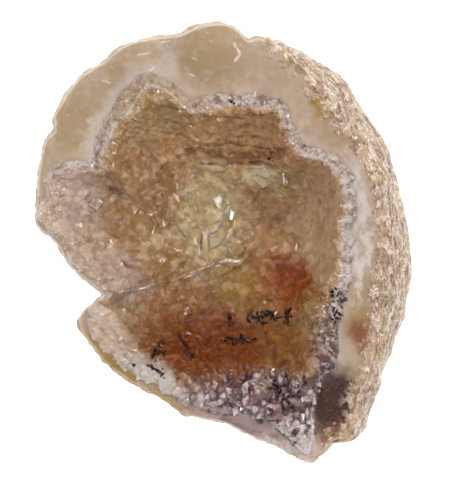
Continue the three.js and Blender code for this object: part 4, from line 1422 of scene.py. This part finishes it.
# One finish for the stained floor and walls, and one for the frosted rim, which lets no light through.
def crustFinish(name, depth):
    look = Finish(name, druseColours)
    strayed = look.strayed(*druseLook["glitterStray"])
    paintDruse(look)
    paintSeams(look)
    tip = look.kept("tip")
    tint = look.kept("tint")
    faceLight = look.kept("faceLight")
    bright = look.kept("bright")
    glitter = sum(share * look.zone(strayed, at, reach) for at, reach, share in glitterZones)
    mixed = 0.3 * tip + 0.4 * faceLight + 0.3 * tint + 1.4 * (look.noise(1.1, 4, 0.6) - 0.5)
    patches = look.noise(2.4, 4, 0.6)
    look.cover("frost", 0.4 * glitter * look.fade(patches, 0.53, 0.64))
    look.cover("duskAndShade", 0.75 * glitter * look.fade(patches, 0.48, 0.36))
    # Painted highlights, mostly on the tips and light faces of the glittering crystals, and painted shade,
    # mostly in the valleys between them, both broken up by noise.
    look.cover("glitter", 0.9 * glitter * look.fade(mixed, 0.46, 0.8))
    look.cover("duskAndShade", 0.8 * glitter * look.fade(mixed, 0.36, 0.1))
    # The border at the lower tip, which fades into the pale stone.
    border = look.fade(look.kept("inside"), 1.0, 0.5) * look.zone(strayed, *druseOvals["lowerTip"])
    look.cover("glitter", 0.9 * border)
    height = look.noise(0.8, 1) + 0.5 * look.noise(0.25, 2) * (1 - bright)
    return look.finish(
        look.colour,
        0.42 - 0.3 * bright + 0.14 * look.noise(0.5),
        look.bump(height, druseLook["bumpDepth"], 0.8),
        **{
            "IOR": quartzIndex,
            "Specular IOR Level": 0.25,
            "Coat Weight": 0.3 * bright,
            "Coat Roughness": 0.12,
            "Subsurface Weight": depth,
            "Subsurface Radius": warmScatter,
            "Subsurface Scale": druseLook["scatterReach"] * mm,
        },
    )


crust = makeCrust()
crust.data.materials.append(crustFinish("stainedCrust", 1.0))
crust.data.materials.append(crustFinish("frostedRim", 0.0))


print("needles and clear crystals")
needleClusters = [  # x, y, reach across and up, turn
    (5.1, -9.6, 2.2, 0.9, 5), (8.3, -9.5, 0.5, 1.2, 0), (0.9, -10.1, 0.4, 0.9, 10), (1.9, -12.6, 2.0, 0.4, 5),
    (-8.4, -13.9, 0.6, 1.1, -30), (-4.9, -13.6, 0.5, 1.6, 35), (-11.5, -15.4, 0.3, 0.6, 30),
    (-9.3, -16.0, 0.6, 0.35, -30), (-7.8, -16.8, 0.5, 0.3, -20), (14.2, -6.6, 0.8, 0.9, 0),
    (13.9, -9.2, 1.0, 0.9, 0), (10.7, -17.3, 0.35, 0.5, 0), (2.5, -18.1, 0.5, 0.35, 0),
    (6.9, -18.6, 0.8, 1.5, 20), (9.0, -20.3, 0.5, 0.5, 0), (0.7, 18.1, 0.35, 0.35, 0),
    (1.5, 17.7, 0.3, 0.3, 0), (6.2, 11.1, 0.25, 0.35, 0), (7.0, 10.9, 0.25, 0.3, 0),
]
clearZones = [  # middle, reach, share of the crystals that can grow
    ((3.6, -20.2), (11.0, 3.0), 1.0), ((14.2, -12.5), (2.0, 7.0), 0.5), ((10.0, -24.6), (2.6, 3.2), 0.2),
]
scatterSettings = {
    "dark_needles": {
        "growth": "needleGrowth", "spacing": 0.44, "smallest": 0.09, "largest": 0.24, "length": 2.6,
        "lean": 1.3, "seed": 3,
    },
    "clear_crystals": {
        "growth": "clearGrowth", "spacing": 0.85, "smallest": 0.16, "largest": 0.48, "length": 2.1,
        "lean": 1.25, "seed": 11,
    },
}


# Where the needles and the clear crystals grow, kept at the crust's points for the tree below.
def keepGrowth(piece):
    mesh = piece.data
    points = np.empty(len(mesh.vertices) * 3)
    mesh.vertices.foreach_get("co", points)
    points = points.reshape(-1, 3) / mm - [*middle, 0]
    face = np.empty(len(points), np.float32)
    mesh.attributes["face"].data.foreach_get("value", face)
    needles = np.zeros(len(points))
    for x, y, across, up, turn in needleClusters:
        needles = np.maximum(needles, ovalAt(points, (x, y), (across, up), turn, 0.2))
    ragged = noiseAt(points, 1.6, 9.0)
    clear = sum(share * ovalAt(points, at, reach) for at, reach, share in clearZones)
    clear = np.clip(clear, 0, 1) * smoothstep(ragged, -0.5, 0.3)
    fields = {"needleGrowth": face * needles, "clearGrowth": face * np.clip(clear, 0, 1)}
    for label, values in fields.items():
        keep(mesh, label, values)


# The pointed end of a crystal: six sides and six uneven end faces, as wide as one unit is long.
def crystalPoint(name, shoulders, tip):
    angles = [math.radians(60 * side) for side in range(6)]
    low = [(math.cos(angle), math.sin(angle), -0.9) for angle in angles]
    high = [(0.92 * x, 0.92 * y, shoulder) for (x, y, _), shoulder in zip(low, shoulders)]
    sides = [(side, (side + 1) % 6, 6 + (side + 1) % 6, 6 + side) for side in range(6)]
    ends = [(6 + side, 6 + (side + 1) % 6, 12) for side in range(6)]
    mesh = bpy.data.meshes.new(name)
    mesh.from_pydata([*low, *high, tip], [], [*sides, *ends, tuple(range(5, -1, -1))])
    heights = [vertex.co.z for vertex in mesh.vertices]
    keep(mesh, "height", heights)
    return bpy.data.objects.new(name, mesh)


def crystalPoints():
    shapes = bpy.data.collections.new("crystalPoints")
    shapes.objects.link(crystalPoint("evenPoint", [0.15] * 6, (0, 0, 1.05)))
    shapes.objects.link(crystalPoint("leaningPoint", [0.5, 0.3, 0.0, -0.1, 0.0, 0.3], (-0.35, 0.1, 0.95)))
    shapes.objects.link(crystalPoint("chiselPoint", [0.1, 0.5, 0.5, 0.1, -0.1, -0.1], (0.1, -0.3, 0.85)))
    return shapes


# The tree that scatters crystals over a surface, each leaning and turned at random.
def scatterTree(shapes):
    tree = bpy.data.node_groups.new("scatterCrystals", "GeometryNodeTree")
    face = tree.interface
    face.new_socket("Surface", in_out="INPUT", socket_type="NodeSocketGeometry")
    for name, kind in (
        ("Spacing", "Float"), ("Growth", "Float"), ("Smallest", "Float"), ("Largest", "Float"),
        ("Length", "Float"), ("Lean", "Float"), ("Seed", "Int"), ("Finish", "Material"),
    ):
        face.new_socket(name, in_out="INPUT", socket_type=f"NodeSocket{kind}")
    face.new_socket("Crystals", in_out="OUTPUT", socket_type="NodeSocketGeometry")
    plan = Plan(tree)
    given = plan.add("NodeGroupInput", {}, {}, "Surface")
    scatter = plan.add(
        "GeometryNodeDistributePointsOnFaces",
        {"distribute_method": "POISSON"},
        {
            "Mesh": given,
            "Distance Min": given.also("Spacing"),
            "Density Max": 3e7,
            "Density Factor": given.also("Growth"),
            "Seed": given.also("Seed"),
        },
        "Points",
    )
    lean = given.also("Lean")
    least = plan.add("ShaderNodeCombineXYZ", {}, {0: -1.0 * lean, 1: -1.0 * lean, 2: 0.0})
    most = plan.add("ShaderNodeCombineXYZ", {}, {0: lean, 1: lean, 2: 2 * math.pi})
    slant = plan.add(
        "FunctionNodeRandomValue",
        {"data_type": "FLOAT_VECTOR"},
        {0: least, 1: most, "Seed": given.also("Seed")},
    )
    turned = plan.add("FunctionNodeEulerToRotation", {}, {0: slant})
    turned = plan.add(
        "FunctionNodeRotateRotation", {"rotation_space": "LOCAL"}, {0: scatter.also("Rotation"), 1: turned}
    )
    width = plan.add(
        "FunctionNodeRandomValue",
        {"data_type": "FLOAT"},
        {2: given.also("Smallest"), 3: given.also("Largest"), "Seed": given.also("Seed") + 1},
        1,
    )
    size = plan.add("ShaderNodeCombineXYZ", {}, {0: width, 1: width, 2: width * given.also("Length")})
    shape = plan.add(
        "GeometryNodeCollectionInfo",
        {},
        {"Collection": shapes, "Separate Children": True, "Reset Children": True},
    )
    crystals = plan.add(
        "GeometryNodeInstanceOnPoints",
        {},
        {"Points": scatter, "Instance": shape, "Pick Instance": True, "Rotation": turned, "Scale": size},
    )
    tint = plan.add("FunctionNodeRandomValue", {"data_type": "FLOAT"}, {2: 0.0, 3: 1.0, "Seed": 99}, 1)
    tinted = plan.add(
        "GeometryNodeStoreNamedAttribute",
        {"data_type": "FLOAT", "domain": "INSTANCE"},
        {"Geometry": crystals, "Name": "tint", "Value": tint},
    )
    real = plan.add("GeometryNodeRealizeInstances", {}, {0: tinted})
    painted = plan.add("GeometryNodeSetMaterial", {}, {"Geometry": real, "Material": given.also("Finish")})
    plan.add("NodeGroupOutput", {}, {0: painted})
    return tree


# Runs the tree over the crust and keeps the result as a plain mesh of its own.
def growCrystals(name, tree, settings, finish):
    modifier = crust.modifiers.new(name, "NODES")
    modifier.node_group = tree
    sockets = {item.name: item.identifier for item in tree.interface.items_tree if item.in_out == "INPUT"}
    for label in ("Spacing", "Smallest", "Largest"):
        modifier[sockets[label]] = settings[label.lower()] * mm
    modifier[sockets["Length"]] = settings["length"]
    modifier[sockets["Lean"]] = settings["lean"]
    modifier[sockets["Seed"]] = settings["seed"]
    modifier[sockets["Finish"]] = finish
    modifier[sockets["Growth"] + "_use_attribute"] = True
    modifier[sockets["Growth"] + "_attribute_name"] = settings["growth"]
    grown = crust.evaluated_get(bpy.context.evaluated_depsgraph_get())
    mesh = bpy.data.meshes.new_from_object(grown)
    crust.modifiers.remove(modifier)
    mesh.name = name
    mesh.shade_flat()
    print(name, sum(len(polygon.vertices) - 2 for polygon in mesh.polygons), "triangles")
    return linked(name, mesh)


bladeSettings = {
    "sink": 0.3,  # how deep a blade's root lies in the crust, in blade widths
    "flatness": 0.5,  # thickness of a blade as a share of its width
}
# The long pale crystals that fan out over the middle, and the bright slivers: x, y, heading, length, width
# and rise in degrees.
glassyBlades = [
    (-3.2, -1.6, 112, 4.2, 0.9, 4), (-2.4, -1.6, 92, 3.6, 0.9, 5), (-1.0, -0.8, 74, 4.0, 0.8, 4),
    (-4.6, 0.6, 124, 3.2, 0.8, 5), (-0.2, 3.2, 66, 2.8, 0.9, 6), (-4.2, 3.6, 100, 3.6, 0.7, 4),
    (-1.8, 6.4, 84, 2.6, 0.8, 5), (0.9, 1.2, 40, 2.4, 0.7, 6),
]
slivers = [
    (-11.2, -6.0, 14, 1.6, 0.18, 3), (-5.4, -4.6, 24, 1.4, 0.2, 3), (-1.2, -3.0, 16, 1.2, 0.2, 3),
    (0.8, -2.4, 4, 1.5, 0.28, 3), (-2.9, -1.2, 66, 1.3, 0.28, 4),
    (7.7, 9.2, 268, 1.8, 0.25, 3), (-9.4, 1.2, 75, 1.4, 0.22, 4), (-7.6, 1.8, 110, 1.6, 0.22, 4),
    (-18.2, 7.0, 60, 1.1, 0.25, 4), (9.4, -1.0, 82, 1.2, 0.25, 4), (6.4, -9.4, 40, 1.0, 0.25, 4),
]
# Flat pale faces: corners, heading and slant of the side that they turn to, and how far they stand proud.
flatFaces = [
    ([(3.6, 8.7), (5.1, 9.5), (6.3, 9.2), (6.6, 8.1), (5.1, 7.2), (4.2, 8.1)], 60, 14, 0.2),
    ([(7.6, 9.2), (8.4, 9.0), (8.3, 7.6), (7.8, 7.3)], 100, 3, 0.15),
    ([(3.2, 3.1), (4.5, 3.25), (4.5, 2.6), (3.7, 2.2)], 300, 6, 0.15),
    ([(-2.0, 6.8), (-0.8, 6.9), (0.0, 6.0), (-0.5, 4.4), (-1.2, 5.1)], 62, 15, 0.15),
    ([(0.85, 4.4), (1.4, 4.2), (1.1, 3.0), (0.7, 3.1)], 60, 17, 0.2),
    ([(-2.0, 1.6), (-1.0, 2.2), (0.45, 1.4), (-0.6, -0.1), (-1.9, -0.9)], 160, 8, 0.15),
    ([(0.2, 0.0), (2.3, 0.1), (2.9, -0.9), (1.6, -1.95), (0.45, -1.6)], 280, 6, 0.15),
    ([(-2.9, -3.8), (-0.7, -2.9), (1.6, -2.6), (1.2, -3.5), (-1.0, -4.5)], 250, 8, 0.1),
    ([(-17.6, 5.0), (-16.6, 6.4), (-15.6, 5.4), (-16.4, 4.2)], 60, 14, 0.2),
    ([(-5.6, -8.6), (-4.6, -8.2), (-4.2, -9.2), (-5.2, -9.6)], 60, 14, 0.2),
]


# What the crust's finish is told of the blades and flat faces: bright tips, well inside the border.
grownInto = {"inside": 9.0, "tip": 0.8, "tint": 0.9, "bright": 1.0, "faceLight": 0.7, "level": 0.5, "wall": 0.0}


# Finds the crust's surface, in millimetres, over a point of the page, and the way that it faces there.
def crustFinder():
    surface = BVHTree.FromObject(crust, bpy.context.evaluated_depsgraph_get())

    def find(x, y):
        hit = surface.ray_cast(Vector(((x + middle[0]) * mm, (y + middle[1]) * mm, 0.05)), Vector((0, 0, -1)))
        return hit[0] / mm - Vector((*middle, 0)), hit[1].normalized()

    return find


def facetedPiece(name, points, faces, kept):
    mesh = bpy.data.meshes.new(name)
    mesh.from_pydata([(Vector(point) + Vector((*middle, 0))) * mm for point in points], [], faces)
    edit = bmesh.new()
    edit.from_mesh(mesh)
    bmesh.ops.recalc_face_normals(edit, faces=edit.faces)
    edit.to_mesh(mesh)
    edit.free()
    mesh.shade_flat()
    for label, value in kept.items():
        keep(mesh, label, [value] * len(mesh.vertices))
    return linked(name, mesh)


# Six-sided pointed blades that lie on the crust, all in one mesh.
def makeBlades(name, blades, seed):
    find = crustFinder()
    chance = np.random.default_rng(seed)
    points, faces = [], []
    for x, y, heading, length, width, rise in blades:
        root, up = find(x, y)
        up = up.lerp(Vector((0, 0, 1)), 0.5).normalized()
        forward = Vector((math.cos(math.radians(heading)), math.sin(math.radians(heading)), 0))
        forward = (forward - up * forward.dot(up)).normalized()
        forward = (forward + up * math.tan(math.radians(rise))).normalized()
        side = forward.cross(up).normalized()
        over = side.cross(forward)
        roll = chance.uniform(0, 60)
        root = root - over * width * bladeSettings["sink"]
        first = len(points)
        for part, wide in ((0, 0.7), (0.12, 1.0), (0.7, 0.8)):
            for step in range(6):
                angle = math.radians(60 * step + roll)
                end = part * length * (1 + (0.1 * math.cos(angle) if part > 0.5 else 0))
                across = math.cos(angle) * width / 2 * wide
                thick = math.sin(angle) * width / 2 * wide * bladeSettings["flatness"]
                points.append(root + forward * end + side * across + over * thick)
        lean = chance.uniform(-0.25, 0.25)
        points.append(root + forward * length + side * width * lean)
        for low in (first, first + 6):
            for step in range(6):
                after = (step + 1) % 6
                faces.append((low + step, low + after, low + 6 + after, low + 6 + step))
        faces += [(first + 12 + step, first + 12 + (step + 1) % 6, first + 18) for step in range(6)]
        faces.append(tuple(first + step for step in range(5, -1, -1)))
    return facetedPiece(name, points, faces, grownInto)


# Flat faces of crystals that lie in the crust, each a slanted slab with its edges cut back, all in one mesh.
def makeFlatFaces(name, slabs):
    find = crustFinder()
    points, faces = [], []
    for corners, heading, slant, proud in slabs:
        centre = np.mean(corners, axis=0)
        heights = sorted(find(*spot)[0].z for spot in [*corners, tuple(centre)])
        level = heights[len(heights) // 2] + proud
        fall = math.tan(math.radians(slant))
        turn = math.radians(heading)
        first, count = len(points), len(corners)
        for spread, depth in ((0.86, 0.0), (1.0, 0.16), (1.05, 1.2)):
            for x, y in corners:
                ahead = (x - centre[0]) * math.cos(turn) + (y - centre[1]) * math.sin(turn)
                spot = centre + spread * (np.array([x, y]) - centre)
                points.append((spot[0], spot[1], level - fall * ahead * spread - depth))
        faces.append(tuple(first + step for step in range(count)))
        faces.append(tuple(first + 2 * count + step for step in reversed(range(count))))
        for ring in (0, count):
            for step in range(count):
                after = (step + 1) % count
                low, high = first + ring, first + ring + count
                faces.append((low + step, high + step, high + after, low + after))
    return facetedPiece(name, points, faces, grownInto)


# The slivers are near white: a painted highlight, the light that their thin edges catch.
def sliverFinish():
    look = Finish("glintingSlivers")
    colour = look.blend(paint(214, 196, 168), paint(255, 252, 244), look.fade(look.noise(0.7, 3), 0.4, 0.6))
    return look.finish(colour, 0.2, **{"IOR": quartzIndex, "Coat Weight": 0.5, "Coat Roughness": 0.08})


# Crystals clear at their tips and darkened with painted shade at their roots, some white and some purple.
def clearFinish():
    look = Finish("clearQuartz")
    tint = look.kept("tint")
    mixed = tint + 0.7 * (look.noise(0.4, 2) - 0.5)
    colour = look.blend(paint(130, 100, 108), paint(240, 230, 236), look.fade(mixed, 0.4, 0.8))
    # Painted shade: each crystal darkens down towards its root among the others.
    root = look.fade(look.kept("height") + 1.2 * (look.noise(0.5, 2) - 0.5), 0.5, -0.4)
    colour = look.blend(colour, paint(64, 40, 46), 0.85 * root)
    constants = {"IOR": quartzIndex, "Transmission Weight": 0.35, "Coat Weight": 0.6, "Coat Roughness": 0.04}
    return look.finish(colour, 0.06 + 0.1 * look.noise(0.6), **constants)


def needleFinish():
    look = Finish("darkNeedles")
    colour = look.blend(paint(20, 8, 4), paint(74, 36, 14), look.fade(look.kept("tint"), 0.5, 1.0))
    return look.finish(colour, 0.25 + 0.15 * look.noise(0.3), **{"IOR": 1.6, "Specular IOR Level": 0.3})


keepGrowth(crust)
crystalTree = scatterTree(crystalPoints())
needles = growCrystals("dark_needles", crystalTree, scatterSettings["dark_needles"], needleFinish())
clearCrystals = growCrystals("clear_crystals", crystalTree, scatterSettings["clear_crystals"], clearFinish())
blades = makeBlades("glassy_blades", glassyBlades, 4)
blades.data.materials.append(crust.data.materials[0])
glintingSlivers = makeBlades("bright_slivers", slivers, 6)
glintingSlivers.data.materials.append(sliverFinish())
plates = makeFlatFaces("flat_faces", flatFaces)
plates.data.materials.append(crust.data.materials[0])
grownPieces = [needles, clearCrystals, blades, glintingSlivers, plates]


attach(stone, "root")
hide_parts("agate_nodule")
for piece in [crust, *grownPieces]:
    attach(piece, "root")
    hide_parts("crystal_lining")
